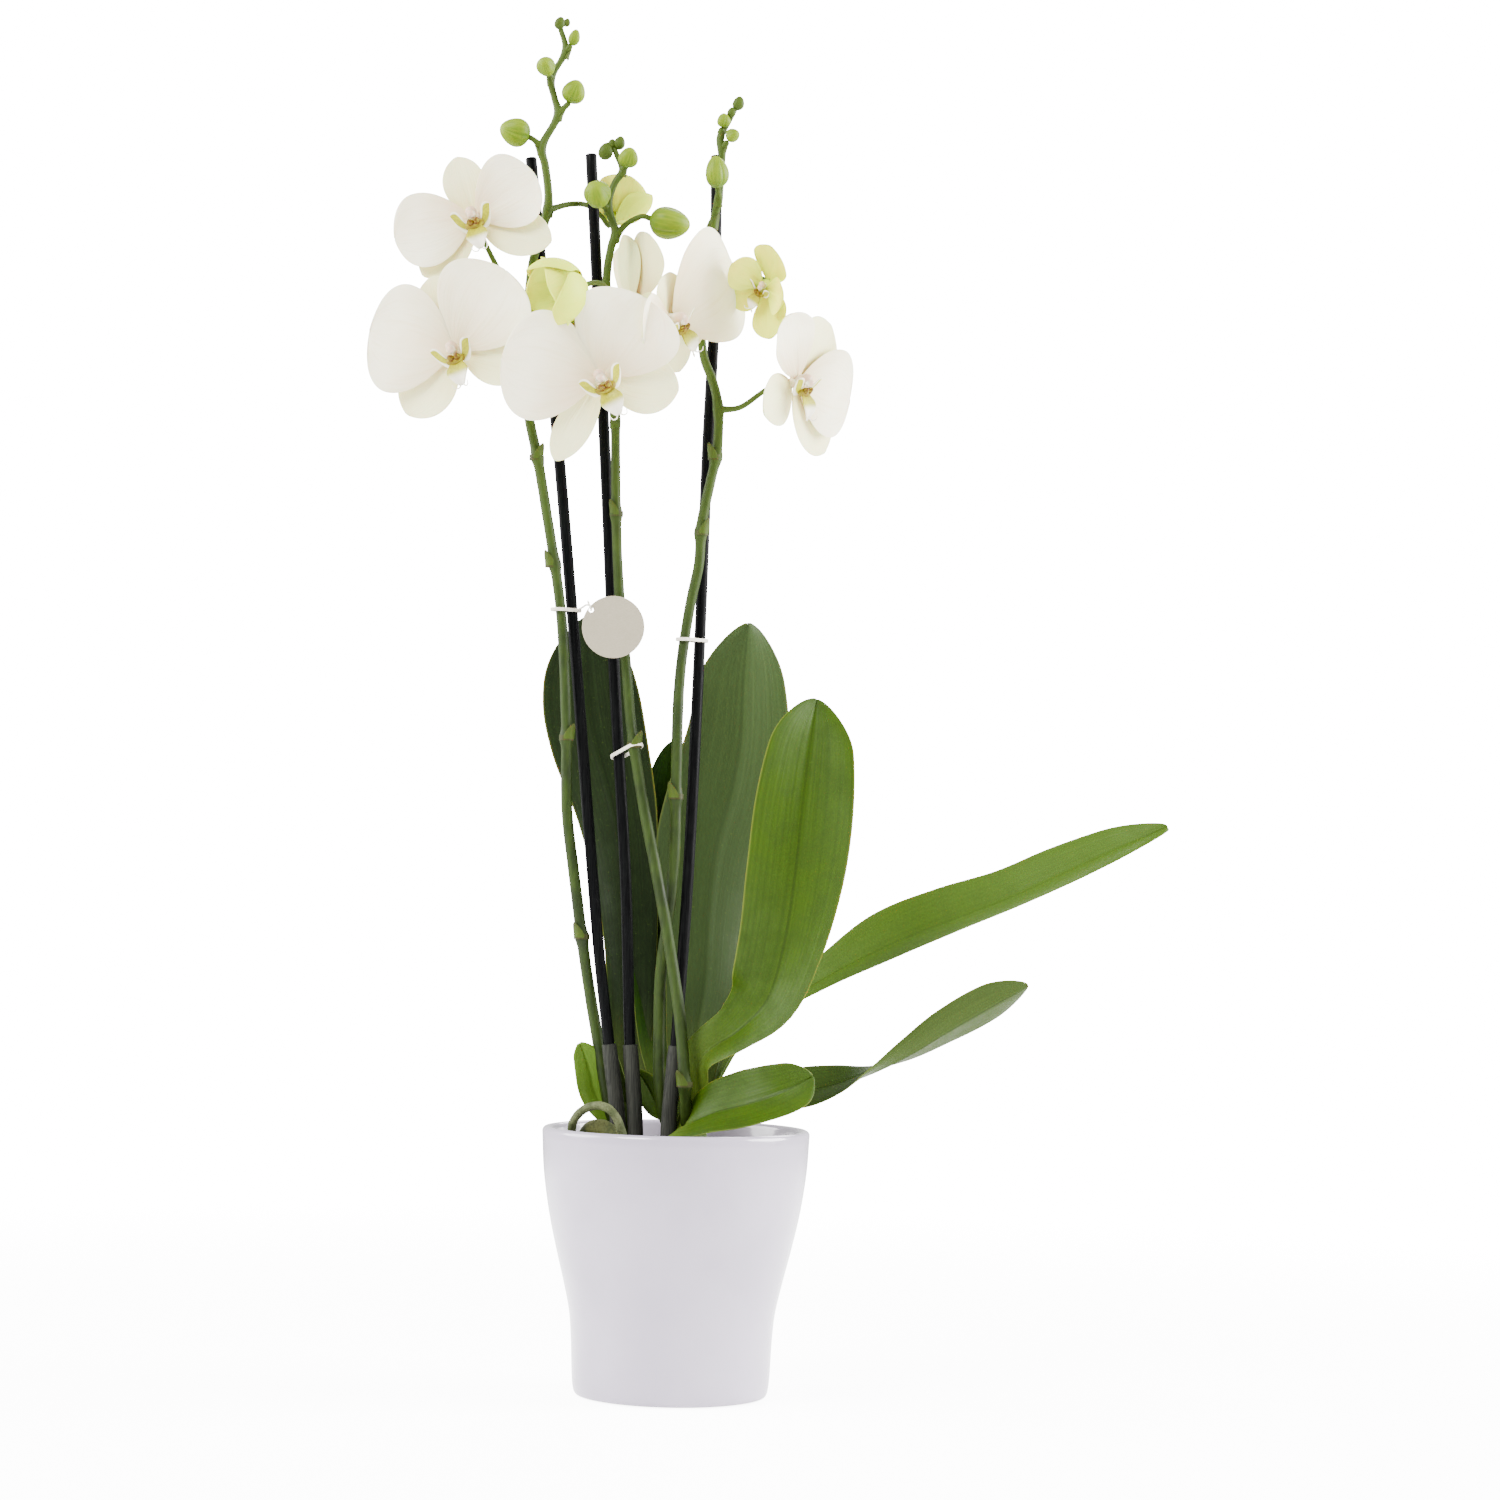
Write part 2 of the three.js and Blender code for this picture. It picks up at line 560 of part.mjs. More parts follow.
function warpedBall(centre, radii, direction, [around, high] = [6, 4], ribs = 0) {
  const shape = new THREE.SphereGeometry(1, around, high);
  const places = shape.getAttribute('position');
  for (let i = 0; i < places.count; i += 1) {
    const point = new THREE.Vector3().fromBufferAttribute(places, i);
    const rib = 1 + ribs * Math.cos(3 * Math.atan2(point.z, point.x)) * (1 - point.y * point.y);
    const breadth = radii[0] * rib * (1 - 0.18 * point.y);
    places.setXYZ(i, point.x * breadth, point.y * radii[1], point.z * breadth);
  }
  const axis = vector(direction).normalize();
  const turn = new THREE.Quaternion().setFromUnitVectors(new THREE.Vector3(0, 1, 0), axis);
  shape.applyQuaternion(turn);
  shape.translate(...centre);
  return solid(shape);
}

// thickened ring of a stem, with the tip of its bract standing off one side
function stemNode(place, radius, margin) {
  return warpedBall(place, [radius + 1.1 + margin, 3.8 + margin], [0.25, -0.1, 1], [5, 3]);
}

// a flower's stalk ends inside the back of its hub
function stalkRoute(carried, points) {
  if (!(carried in FLOWERS)) return points;
  const { centre, facing } = FLOWERS[carried];
  return [...points, vector(centre).addScaledVector(vector(facing).normalize(), -1.5).toArray()];
}

const stem = (name) => (margin) => {
  const { route, radii, nodes, stalks, tips } = STEMS[name];
  const main = rod(route, radii, 5, 1, margin);
  const rings = nodes.map((place) => stemNode(place, along(radii, (place[2] - 130) / 560), margin));
  const sides = Object.entries(stalks).map(([carried, points]) => (
    rod(stalkRoute(carried, points), STALK_RADII, 4, 1, margin)
  ));
  const ends = tips.map(([x, y, z, r]) => (
    warpedBall([x, y, z], [r + margin, r * 1.25 + margin], [0.3, 0, 1], [5, 3])
  ));
  return fuse([main, ...rings, ...sides, ...ends]);
};

// ---------------------------------------------------------------- buds

const BUDS = {
  bud_left_1: { centre: [-95, -8, 648], size: [7.2, 8], toward: [-1, -0.2, 0.25] },
  bud_left_2: { centre: [-65, -8, 669.5], size: [5.9, 6.3], toward: [0.4, -0.2, 1] },
  bud_left_3: { centre: [-79.5, -15.5, 681], size: [4.8, 5.4], toward: [-0.2, -0.8, 0.4] },
  bud_left_4: { centre: [-65.5, -8.5, 697.5], size: [2.9, 4.4], toward: [0.3, -0.1, 1] },
  bud_middle_1: { centre: [-14, -6, 603], size: [8.2, 10.6], toward: [1, -0.1, -0.15] },
  bud_middle_2: { centre: [-51.5, -16.5, 615.5], size: [6.8, 7.4], toward: [-0.2, -0.8, 0.5] },
  bud_middle_3: { centre: [-36, -11, 635.5], size: [5, 5.3], toward: [0.3, -0.4, 1] },
  bud_right_1: { centre: [9.5, -13.5, 628.5], size: [6, 8.2], toward: [-0.1, -0.2, 1] },
  bud_right_2: { centre: [17.5, -9, 648.5], size: [3.5, 3.7], toward: [1, -0.6, 0.5] },
  bud_right_3: { centre: [12.5, -7.5, 656.5], size: [3.5, 3.7], toward: [0.1, -0.4, 1] },
};

const bud = (name) => (margin) => {
  const { centre, size, toward } = BUDS[name];
  return warpedBall(centre, size.map((value) => value + margin), toward, [8, 4], 0.07);
};

// ---------------------------------------------------------------- flowers

// facing is where the front looks, roll turns the dorsal sepal counter-clockwise as seen from
// the front, close is 0 for flat up to 1 for a globe, and reflex how far the petals and the
// sepals bend back, in radians. Each petal and sepal is [angle, length, half width], its angle
// counter-clockwise from the dorsal sepal in degrees: the left and right petal, then the dorsal,
// left and right sepal.
const FLOWERS = {
  flower_a: {
    look: PETAL_WHITE, centre: [-113, -28, 599], facing: [-0.15, -1, 0.1], roll: 19,
    close: 0.06, reflex: [0, 0], lip: 1.4,
    petals: [[87, 40, 20], [-74, 36, 20.5]], sepals: [[0, 31.5, 11], [121, 37, 12], [-126, 40, 12.5]],
  },
  flower_b: {
    look: PETAL_WHITE, centre: [-120, -36, 530], facing: [-0.25, -1, -0.05], roll: 20,
    close: 0.03, reflex: [0, 0], lip: 1.4,
    petals: [[58, 45, 28], [-53, 46, 27]], sepals: [[0, 38, 14], [120, 39, 15], [-120, 37, 14]],
  },
  flower_c: {
    look: PETAL_GREEN, centre: [-58.7, -46, 562.6], facing: [-0.8, -0.55, -0.3], roll: 5,
    close: 0.85, reflex: [0, 0], lip: 0,
    petals: [[80, 33, 18], [-80, 33, 19]], sepals: [[0, 31, 17], [130, 32, 17], [-130, 31, 16]],
  },
  flower_d: {
    look: PETAL_WHITE, centre: [-46, -50, 516], facing: [0.05, -1, -0.1], roll: 28,
    close: 0, reflex: [0, 0], lip: 1.5,
    petals: [[52, 48.5, 28], [-54, 44, 28]], sepals: [[2, 36, 13], [124, 45, 9.5], [-124, 37.5, 15]],
  },
  flower_e: {
    look: PETAL_WHITE, centre: [-11.9, -32, 548.8], facing: [0.8, -0.6, -0.1], roll: 35,
    close: 0.06, reflex: [0, 0.2], lip: 1.3,
    petals: [[80, 27, 20], [-84, 52, 32]], sepals: [[-30, 22, 12], [175, 26, 12], [-124, 29, 12]],
  },
  flower_f: {
    look: PETAL_GREEN, centre: [36.3, -8, 571], facing: [-0.6, -0.75, -0.3], roll: -36,
    close: 0.3, reflex: [0, 0], lip: 0.9,
    petals: [[78, 20, 11], [-78, 20, 10]], sepals: [[0, 25, 11.5], [134, 20, 10], [-134, 26, 12]],
  },
  flower_g: {
    look: PETAL_WHITE, centre: [52.5, -14, 521.2], facing: [0.8, -0.6, -0.15], roll: 8,
    close: 0.04, reflex: [0, 0], lip: 1.3,
    petals: [[20, 35, 17], [-103, 43, 23]], sepals: [[-42, 37, 18], [120, 28, 14], [-142, 45, 15]],
  },
  flower_h: {
    look: PETAL_GREEN, centre: [-44.5, 22, 610], facing: [0.25, 0.25, 0.9], roll: -20,
    close: 0.55, reflex: [0, 0], lip: 0,
    petals: [[75, 26, 13], [-75, 27, 13.5]], sepals: [[0, 22, 11], [130, 22, 11], [-130, 22, 11]],
  },
  flower_i: {
    look: PETAL_WHITE, centre: [-31, 9, 563.2], facing: [0.85, 0.45, 0.25], roll: -8,
    close: 0.1, reflex: [0, 0], lip: 0,
    petals: [[36, 36, 17], [-36, 36, 14]], sepals: [[0, 34, 14], [130, 22, 12], [-130, 22, 12]],
  },
};

const HUB_RADIUS = 3.6;
const LARGE_PETAL = 37;

// place and turning of a flower: local +Z is its facing, +Y its dorsal sepal
function flowerFrame({ centre, facing, roll }) {
  const front = vector(facing).normalize();
  const up = new THREE.Vector3(0, 0, 1).addScaledVector(front, -front.z).normalize();
  up.applyAxisAngle(front, THREE.MathUtils.degToRad(roll));
  const right = new THREE.Vector3().crossVectors(up, front);
  return new THREE.Matrix4().makeBasis(right, up, front).setPosition(...centre);
}

// a petal or sepal: an oval that starts narrow at the hub and bends forward as the flower closes.
// A lower fullness carries its widest place further out, a higher point narrows both its ends.
function petal(frame, [angle, length, half], shape, margin) {
  const { layer, close, reflex, fullness, point, wave, rows, columns } = shape;
  const turn = new THREE.Matrix4().makeRotationZ(THREE.MathUtils.degToRad(angle));
  const start = -1.42;
  const place = (s, v) => {
    const bearing = THREE.MathUtils.lerp(start, Math.PI / 2, THREE.MathUtils.clamp(s, 0, 1));
    const reach = ((Math.sin(bearing) - Math.sin(start)) / (1 - Math.sin(start))) ** fullness;
    const distance = 2.2 + length * reach;
    const side = Math.max(0, Math.cos(bearing)) ** point * half * v;
    const bend = (2.4 * close - reflex) / length + 0.0001;
    const lean = bend * distance;
    const bow = (1 - close) * (0.08 * distance - 0.0022 * distance * distance);
    const cup = (0.004 + 0.45 * Math.max(bend, 0)) * side * side;
    const ripple = wave * v * v * reach * Math.sin(6 * reach + 3 * v);
    const raise = layer + bow + cup + ripple;
    const centre = new THREE.Vector3(
      side,
      Math.sin(lean) / bend - raise * Math.sin(lean),
      (1 - Math.cos(lean)) / bend + raise * Math.cos(lean),
    );
    return centre.applyMatrix4(turn).applyMatrix4(frame);
  };
  return blade(rows, columns, place, PETAL_THICKNESS, margin);
}

// the column: a short blunt rod that stands forward of the hub and bends down a little
function column(frame, size, margin) {
  const points = [[0, 0, -3], [0, 1, 3], [0, 1.8, 6.5 * size], [0, 1, 8.5 * size]];
  const route = points.map((point) => vector(point).applyMatrix4(frame).toArray());
  return rod(route, [2.6 * size, 2.3 * size, 2.5 * size, 2.2 * size], 5, 1, margin);
}

const flower = (name) => (margin) => {
  const spec = FLOWERS[name];
  const frame = flowerFrame(spec);
  const large = Math.max(...spec.petals.map(([, length]) => length)) > LARGE_PETAL;
  const layer = 1.3 + 1.2 * spec.close;
  const broad = {
    layer, close: spec.close, reflex: spec.reflex[0], fullness: 0.7, point: 1, wave: large ? 1 : 0.5,
    rows: large ? 5 : 3, columns: large ? 4 : 2,
  };
  const narrow = {
    layer: -layer, close: spec.close, reflex: spec.reflex[1], fullness: 0.85, point: 1.2, wave: 0.4,
    rows: 3, columns: 2,
  };
  const hub = [HUB_RADIUS + margin, HUB_RADIUS * 0.8 + margin];
  return fuse([
    ...spec.petals.map((outline) => petal(frame, outline, broad, margin)),
    ...spec.sepals.map((outline) => petal(frame, outline, narrow, margin)),
    warpedBall(spec.centre, hub, spec.facing, [5, 3]),
    column(frame, large ? 1.2 : 0.7, margin),
  ]);
};

// the lip: two raised side lobes, the ridge between them, a narrow middle lobe that hangs
// forward and down, and the short claw that carries them from the column's foot
const lip = (name) => (margin) => {
  const spec = FLOWERS[name];
  const frame = flowerFrame(spec);
  const size = spec.lip;
  const put = (point) => vector(point).multiplyScalar(size).applyMatrix4(frame);
  const middle = (s, v) => {
    const half = 3.9 * Math.sin(Math.PI * (0.3 + 0.66 * s)) ** 0.8;
    return put([half * v, -4.2 - 9.5 * s, 4.2 + 9 * s - 6.5 * s * s + 0.9 * v * v]);
  };
  const wing = (side) => (s, v) => {
    const half = 4.2 * Math.cos(THREE.MathUtils.lerp(-1, Math.PI / 2, THREE.MathUtils.clamp(s, 0, 1)));
    const spread = 2.4 + 4.4 * s + 0.8 * s * s;
    return put([
      side * (spread + 0.25 * half * v * v), -3.4 + 5 * s + 0.75 * half * v, 4.4 + 2.6 * s + 0.65 * half * v,
    ]);
  };
  const ridge = [[-3.6, -3.1, 4.6], [0, -4.3, 5], [3.6, -3.1, 4.6]].map((point) => put(point).toArray());
  const claw = [[0, -1, 1], [0, -4.3, 5]].map((point) => put(point).toArray());
  return fuse([
    blade(3, 2, middle, 1.3, margin),
    blade(2, 2, wing(1), 0.9, margin),
    blade(2, 2, wing(-1), 0.9, margin),
    rod(ridge, [1.5, 1.9, 1.5], 4, 1, margin),
    rod(claw, [1.3], 4, 1, margin),
  ]);
};

// ---------------------------------------------------------------- ties and tag

// Each tie: the two round centres that its loop runs round, its tilt and its place
const TIES = {
  tie_left: { ends: [[-66.5, -4], [-59.5, 2]], radius: 3.5, height: 402, tilt: 0 },
  tie_middle: { ends: [[-25.6, -5.6], [-34.2, 3.6]], radius: 3.7, height: 330, tilt: 0.35 },
  tie_right: { ends: [[-1.6, -4.4], [6.3, 4.3]], radius: 3.5, height: 388, tilt: 0 },
};

// flat loop with two round ends, along the line between two centres
const tie = (name) => (margin) => {
  const { ends, radius, height, tilt } = TIES[name];
  const [[x1, y1], [x2, y2]] = ends;
  const run = Math.hypot(x2 - x1, y2 - y1);
  const loop = (r) => {
    const shape = new THREE.Shape();
    shape.absarc(run / 2, 0, r, -Math.PI / 2, Math.PI / 2);
    shape.absarc(-run / 2, 0, r, Math.PI / 2, 1.5 * Math.PI);
    return shape;
  };
  const outline = loop(radius + TIE_WALL + margin);
  outline.holes.push(loop(radius - margin));
  const ring = new THREE.ExtrudeGeometry(outline, {
    depth: TIE_HEIGHT + 2 * margin, bevelEnabled: false, curveSegments: 3,
  });
  ring.translate(0, 0, -TIE_HEIGHT / 2 - margin);
  ring.rotateY(tilt);
  ring.rotateZ(Math.atan2(y2 - y1, x2 - x1));
  ring.translate((x1 + x2) / 2, (y1 + y2) / 2, height);
  return solid(ring);
};

const tag = (margin) => {
  const disc = new THREE.CylinderGeometry(TAG_RADIUS + margin, TAG_RADIUS + margin,
    TAG_THICKNESS + 2 * margin, 20);
  disc.translate(...TAG_CENTRE);
  const hole = new THREE.CylinderGeometry(TAG_HOLE_RADIUS - margin, TAG_HOLE_RADIUS - margin, 6, 8);
  hole.translate(...TAG_HOLE);
  return solid(disc).subtract(solid(hole));
};

// open hook of string: from the tie's loop, forward through the tag's hole and up again
const tagString = (margin) => rod([
  [-57.4, -1.2, 402], [-54.5, -5.5, 403.2], [-52, -9, 404.4], [-49.6, -12, 403.2], [-49.5, -13.2, 401.3],
  [-49.8, -14.6, 402.6], [-51.4, -12, 406.2],
], [STRING_RADIUS], 5, 1, margin);

// ---------------------------------------------------------------- assembly

show('ceramic_pot', GLAZE, coverPot());

const feet = ['left', 'middle', 'right'].map(stakeFoot);
const stakes = ['left', 'middle', 'right'].map(stake);
const stems = Object.keys(STEMS).map(stem);
const crowns = ['left', 'right'].map(crown);
const roots = Object.keys(AERIAL_ROOTS).map(aerialRoot);
const uprights = [...feet, ...stakes, ...stems];

show('nursery_pot', CLEAR_PLASTIC, seat(nurseryPot, roots));
show('bark_medium', BARK, seat(medium, [...feet, ...crowns, ...stems, ...roots]));

['left', 'middle', 'right'].forEach((side, i) => {
  show(`stake_${side}`, STAKE_BLACK, stakes[i](0));
  show(`stake_foot_${side}`, SLEEVE_GREY, seat(feet[i], [stakes[i]]));
});

show('crown_left', CROWN_GREEN, seat(crowns[0], [...uprights, ...roots]));
show('crown_right', CROWN_GREEN, seat(crowns[1], [...uprights, ...roots]));

Object.keys(STEMS).forEach((name, i) => show(name, STEM_GREEN, seat(stems[i], stems.slice(0, i))));

Object.entries(AERIAL_ROOTS).forEach(([name, { look }], i) => {
  show(name, look, seat(roots[i], roots.slice(0, i)));
});

const placedLeaves = [];
Object.entries(LEAVES).forEach(([name, { look }]) => {
  show(name, look, seat(leaf(name), [...uprights, ...crowns, ...roots, ...placedLeaves]));
  placedLeaves.push(leaf(name));
});

const placedBuds = [];
Object.keys(BUDS).forEach((name) => {
  show(name, BUD_GREEN, seat(bud(name), [...stems, ...placedBuds]));
  placedBuds.push(bud(name));
});

const placedFlowers = [];
Object.entries(FLOWERS).forEach(([name, { look, lip: lipSize }]) => {
  const around = [...uprights, ...placedBuds, ...placedFlowers];
  show(name, look, seat(flower(name), around));
  placedFlowers.push(flower(name));
  if (lipSize === 0) return;
  show(name.replace('flower', 'lip'), LIP_YELLOW, seat(lip(name), [...around, flower(name)]));
  placedFlowers.push(lip(name));
});

Object.keys(TIES).forEach((name) => {
  show(name, TIE_CREAM, seat(tie(name), [...stakes, ...stems]));
});
show('tag', TAG_PAPER, tag(0));
show('tag_string', TIE_CREAM, seat(tagString, [tie('tie_left'), tag]));

export default plant;
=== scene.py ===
"""A moth orchid in a white glazed cover pot: the finished surfaces, the light and the camera.

Shapes are worked out in millimetres, +Z up, from the centre of the pot's flat underside, and
become metres where a piece is made. -Y is the side that is looked at. Every piece repeats the
place and form of the node that it stands for, with a finer surface.
"""

import math
import random
from collections import namedtuple
from itertools import product

import bmesh
import bpy
import numpy as np
from mathutils import Matrix, Vector, noise


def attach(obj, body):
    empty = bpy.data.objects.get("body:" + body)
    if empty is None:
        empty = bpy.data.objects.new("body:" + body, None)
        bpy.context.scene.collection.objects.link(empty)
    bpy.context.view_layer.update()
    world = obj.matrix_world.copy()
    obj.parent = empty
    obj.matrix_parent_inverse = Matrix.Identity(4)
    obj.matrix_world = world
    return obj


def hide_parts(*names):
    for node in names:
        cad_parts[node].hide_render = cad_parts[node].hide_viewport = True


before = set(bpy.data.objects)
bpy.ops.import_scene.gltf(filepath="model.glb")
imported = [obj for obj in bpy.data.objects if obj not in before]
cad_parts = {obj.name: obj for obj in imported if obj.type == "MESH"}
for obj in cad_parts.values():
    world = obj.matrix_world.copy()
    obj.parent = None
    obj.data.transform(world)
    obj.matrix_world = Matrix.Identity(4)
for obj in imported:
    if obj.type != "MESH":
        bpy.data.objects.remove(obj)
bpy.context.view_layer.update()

MM = 0.001  # metres in a millimetre

# ---------------------------------------------------------------- driving dimensions

POT_OUTSIDE = [
    (45.5, 0), (48.6, 0.9), (49.9, 3.5), (51.6, 29.8), (52.8, 42.6),
    (55.6, 56), (60.5, 76), (64.4, 93.9), (67.5, 115),
]
POT_HEIGHT = 137
POT_RIM_RADIUS = 68.7
POT_WALL = 5
POT_FLOOR = 7
POT_INSIDE_FOOT = [(43, POT_FLOOR + 2.5), (42, POT_FLOOR + 1), (39, POT_FLOOR), (0, POT_FLOOR)]

NURSERY_FOOT_RADIUS = 42
NURSERY_TOP_RADIUS = 57.5
NURSERY_TOP = 129
NURSERY_WALL = 1.2
NURSERY_LIP = 2
NURSERY_CORNER = 4
FIT = 0.3  # play between parts that fit in each other

MEDIUM_TOP = 121
MEDIUM_SOLID_TOP = MEDIUM_TOP - 2.5  # the medium's solid, under its loose chips
MEDIUM_BUMPS = 1.6
CHIP_COUNT = 330
CHIP_SIZES = [(9, 19), (6, 11), (3, 5.5)]  # least and most length, width and thickness
CHIP_HEIGHTS = (-2.2, 1.2)  # least and most height over the medium's top
CHIP_SEED = 11
CHIP_MARGIN = 8.5  # the chips' middles stay this far inside the nursery pot
POST_ROOM = 6  # and this far from the middle of each stake and crown

STAKE_RADIUS = 2.9
SLEEVE_RADIUS = 4
SLEEVE_TOP = 179
SLEEVE_BOTTOM = 60
STAKE_BOTTOM = 165

TIE_WALL = 0.9
TIE_HEIGHT = 1.8

TAG_RADIUS = 16
TAG_THICKNESS = 0.9
TAG_CENTRE = (-38, -13, 393)
TAG_HOLE = (-49.5, -13, 401.5)
TAG_HOLE_RADIUS = 1.3
STRING_RADIUS = 0.6
STRING_PITCH = 3.2

LEAF_THICKNESS = 1.5
LEAF_TIP_START = 0.88  # share of a leaf's length where its tip starts to round off
PETAL_THICKNESS = 0.9
HUB_RADIUS = 3.6
LARGE_PETAL = 37  # a flower with a longer petal than this is fully grown
STALK_RADII = [1.6, 1.3, 1.5]
NODE_SWELL = (0.95, 3.2)  # how much thicker a stem is at a node, and over what reach
STALK_SWELL = (0.5, 4)  # and where a stalk leaves it
STALK_FOOT_SWELL = (0.7, 4)  # and the stalk itself there
BRACT_REACH = 8.5
STALK_BRACT_REACH = 5.5

# camera: its place in metres, its focal length against a 36 mm sensor, how far it looks up and
# how far the picture leans
CAMERA_PLACE = (0.0335, -2.0, 0.268)
CAMERA_LENS = 93.19
CAMERA_PITCH = math.radians(1.832)
CAMERA_ROLL = math.radians(1.3)

# light of the white studio on the plant and as the camera sees it, and the floor in metres
STUDIO_LIGHT = 1.5
BACKDROP_LIGHT = 18
FLOOR_REACH = 1.6
FLOOR_GLOW = 1.0
FLOOR_GLOW_SEEN = 9
FLOOR_HEIGHT = -0.0004

# the lamps look at the middle of the plant. Each has a place and width in metres, and its watts
PLANT_MIDDLE = (0.02, 0, 0.38)
LAMPS = {
    "key": ((-1.5, -1.6, 2.2), 1.5, 165),
    "left": ((-2.2, 0.1, 1.0), 1.8, 110),
    "right": ((2.2, 0.0, 1.0), 1.8, 235),
    "back": ((0.6, 1.9, 1.8), 1.6, 50),
}

# ---------------------------------------------------------------- routes and places

# each stake's middle line, from the foot of its sleeve to its top
STAKE_ROUTES = {
    "left": [(-30, 1, 60), (-30, 2, 136), (-36, 2, 182), (-42, 2, 227), (-57, 2, 373),
             (-68, 2, 476), (-87, 2, 637)],
    "middle": [(-20, 2, 60), (-21, 2, 136), (-25, 2, 182), (-29, 3, 263), (-37, 4, 363),
               (-44, 4, 469), (-56, 4, 640)],
    "right": [(-4, -4, 60), (-4, -4, 136), (-1, -3, 182), (3, 0, 263), (6, 4, 375),
              (8, 6, 491), (10, 13, 565), (9, 11, 642)],
}

# each crown: its place and its radius
CROWNS = {"left": ((-28, 17), 8.5), "right": ((7, 9), 9)}
CROWN_HEIGHT = 134
CROWN_REACH = 24

# each leaf: its slot, how far its halves rise like a V, the ripple of its margin, and its
# route of [x, y, z, half width, direction that its upper face looks in]
LEAVES = {
    "leaf_1": ("leaf_dark", 0.28, 1.5, [
        (-28, 21, 140, 9, 0, -1, 0), (-26, 27, 180, 12, 0, -1, 0.1), (-26, 32, 212, 13, 0.1, -1, 0.1),
        (-29, 37, 252, 16, 0.15, -1, 0.1), (-37, 41, 300, 21.5, 0.2, -1, 0),
        (-47, 42, 337, 25.5, 0.15, -1, -0.1), (-51, 40, 359, 25.5, 0.1, -1, -0.2),
        (-53, 36, 382, 21, 0.1, -1, -0.3), (-53, 31, 401, 14, 0.1, -1, -0.4)]),
    "leaf_2": ("leaf_grey_green", 0.2, 3, [
        (8, 14, 140, 7, 0, 1, 0.4), (8, 19, 176, 14, 0, 1, 0.2), (12, 25, 211, 20, -0.1, 1, 0.1),
        (13, 31, 246, 24, -0.2, 1, 0), (16, 35, 280, 30, -0.2, 1, 0.1),
        (24, 37, 312, 31, -0.2, 1, 0.15), (28, 36, 339, 27.5, -0.2, 1, 0.2),
        (29, 32, 370, 23, -0.2, 1, 0.3), (31, 26, 399, 15, -0.2, 1, 0.4)]),
    "leaf_3": ("leaf_bright", 0.35, 1.5, [
        (8, 3, 148, 8, -0.3, -1, 0.5), (12, -5, 173, 11.5, -0.4, -1, 0.6),
        (31, -15, 188, 15.5, -0.5, -1, 0.7), (45, -22, 204, 19.5, -0.4, -1, 0.4),
        (53, -27, 232, 22, -0.2, -1, 0.2), (58, -30, 270, 25, 0, -1, 0),
        (61, -28, 306, 25, 0.1, -1, -0.1), (64, -24, 335, 21.5, 0.1, -1, -0.3),
        (67, -18, 358, 15, 0.1, -1, -0.5)]),
    "leaf_4": ("leaf_deep", 0.25, 1, [
        (0, 15, 146, 9, 0, -1, 0.3), (-8, 26, 180, 13, 0, -1, 0.3), (-11, 38, 222, 15, 0, -1, 0.2),
        (-10, 46, 264, 18, 0, -1, 0.1), (-8, 49, 306, 14, 0, -1, 0), (-7, 47, 337, 9, 0, -1, -0.1)]),
    "leaf_5": ("leaf_bright", 0.35, 1.5, [
        (15, 14, 150, 6, -0.4, -0.3, 1), (37, 26, 187, 8, -0.5, -0.4, 1),
        (73, 32, 213, 10.5, -0.4, -0.75, 1), (108, 36, 232, 19.5, -0.3, -0.75, 1),
        (141, 40, 246, 21, -0.3, -0.75, 1), (171, 42, 258, 19.5, -0.3, -0.75, 1),
        (200, 42, 272, 18.5, -0.3, -0.75, 1), (230, 42, 286.5, 14, -0.3, -0.7, 1),
        (254, 40, 297.5, 8, -0.3, -0.7, 1)]),
    "leaf_6": ("leaf_pale", 0.3, 1, [
        (15, 8, 142, 6, -0.2, -0.3, 1), (38, 13, 149, 10, -0.1, -0.6, 1),
        (64, 18, 155.5, 13, 0, -0.8, 0.8), (84, 21, 160.5, 11.5, 0, -0.55, 1),
        (101, 22, 167, 8.5, -0.1, 0.05, 1), (119, 23, 176, 10, -0.3, 0.6, 0.9),
        (139, 24, 188.5, 13, -0.4, 0.8, 0.8), (160, 25, 201, 13.5, -0.4, 0.9, 0.7),
        (181, 25, 213.5, 10, -0.4, 0.9, 0.7)]),
    "leaf_7": ("leaf_bright", 0.3, 0.6, [
        (-1, 0, 136, 8, -0.3, -1, 0.9), (8, -11, 140.5, 12.5, -0.3, -1, 0.9),
        (20, -20, 146.5, 16.5, -0.3, -1, 0.9), (35, -27, 151, 18, -0.3, -1, 0.8),
        (50, -29.5, 156.5, 16, -0.2, -1, 0.6), (60, -30, 161.5, 12.5, 0, -1, 0.3),
        (69, -29, 166.5, 9, 0.2, -1, 0.1)]),
    "leaf_8": ("leaf_bright", 0.3, 0.6, [
        (-33, 12, 138, 5, 0.3, -1, 0.2), (-42, 11, 152, 9, 0.3, -1, 0.2),
        (-46, 9, 166, 8.5, 0.3, -1, 0.2), (-51, 6, 179, 5, 0.3, -1, 0.2)]),
    "leaf_9": ("leaf_bright", 0.3, 0, [
        (-27, 12, 142, 3, 0, -1, 0), (-30, 11, 156, 4, 0, -1, 0), (-33, 11, 168, 3.5, 0, -1, 0),
        (-35, 10, 179, 1.2, 0, -1, 0)]),
    "leaf_10": ("leaf_bright", 0.3, 0, [
        (-1, 10, 142, 4, 0, -1, 0.2), (-10, 11, 148, 7, 0, -1, 0.2), (-16, 13, 158, 6, 0, -1, 0.2),
        (-22, 14, 166, 1.5, 0, -1, 0.2)]),
}

# how far a leaf goes over to a brighter green. For leaf_8 this is partly its own younger green and partly
# painted light, for the light on its side
LEAF_TINTS_AND_PAINTED_LIGHT = {"leaf_5": 0.25, "leaf_8": 0.8}

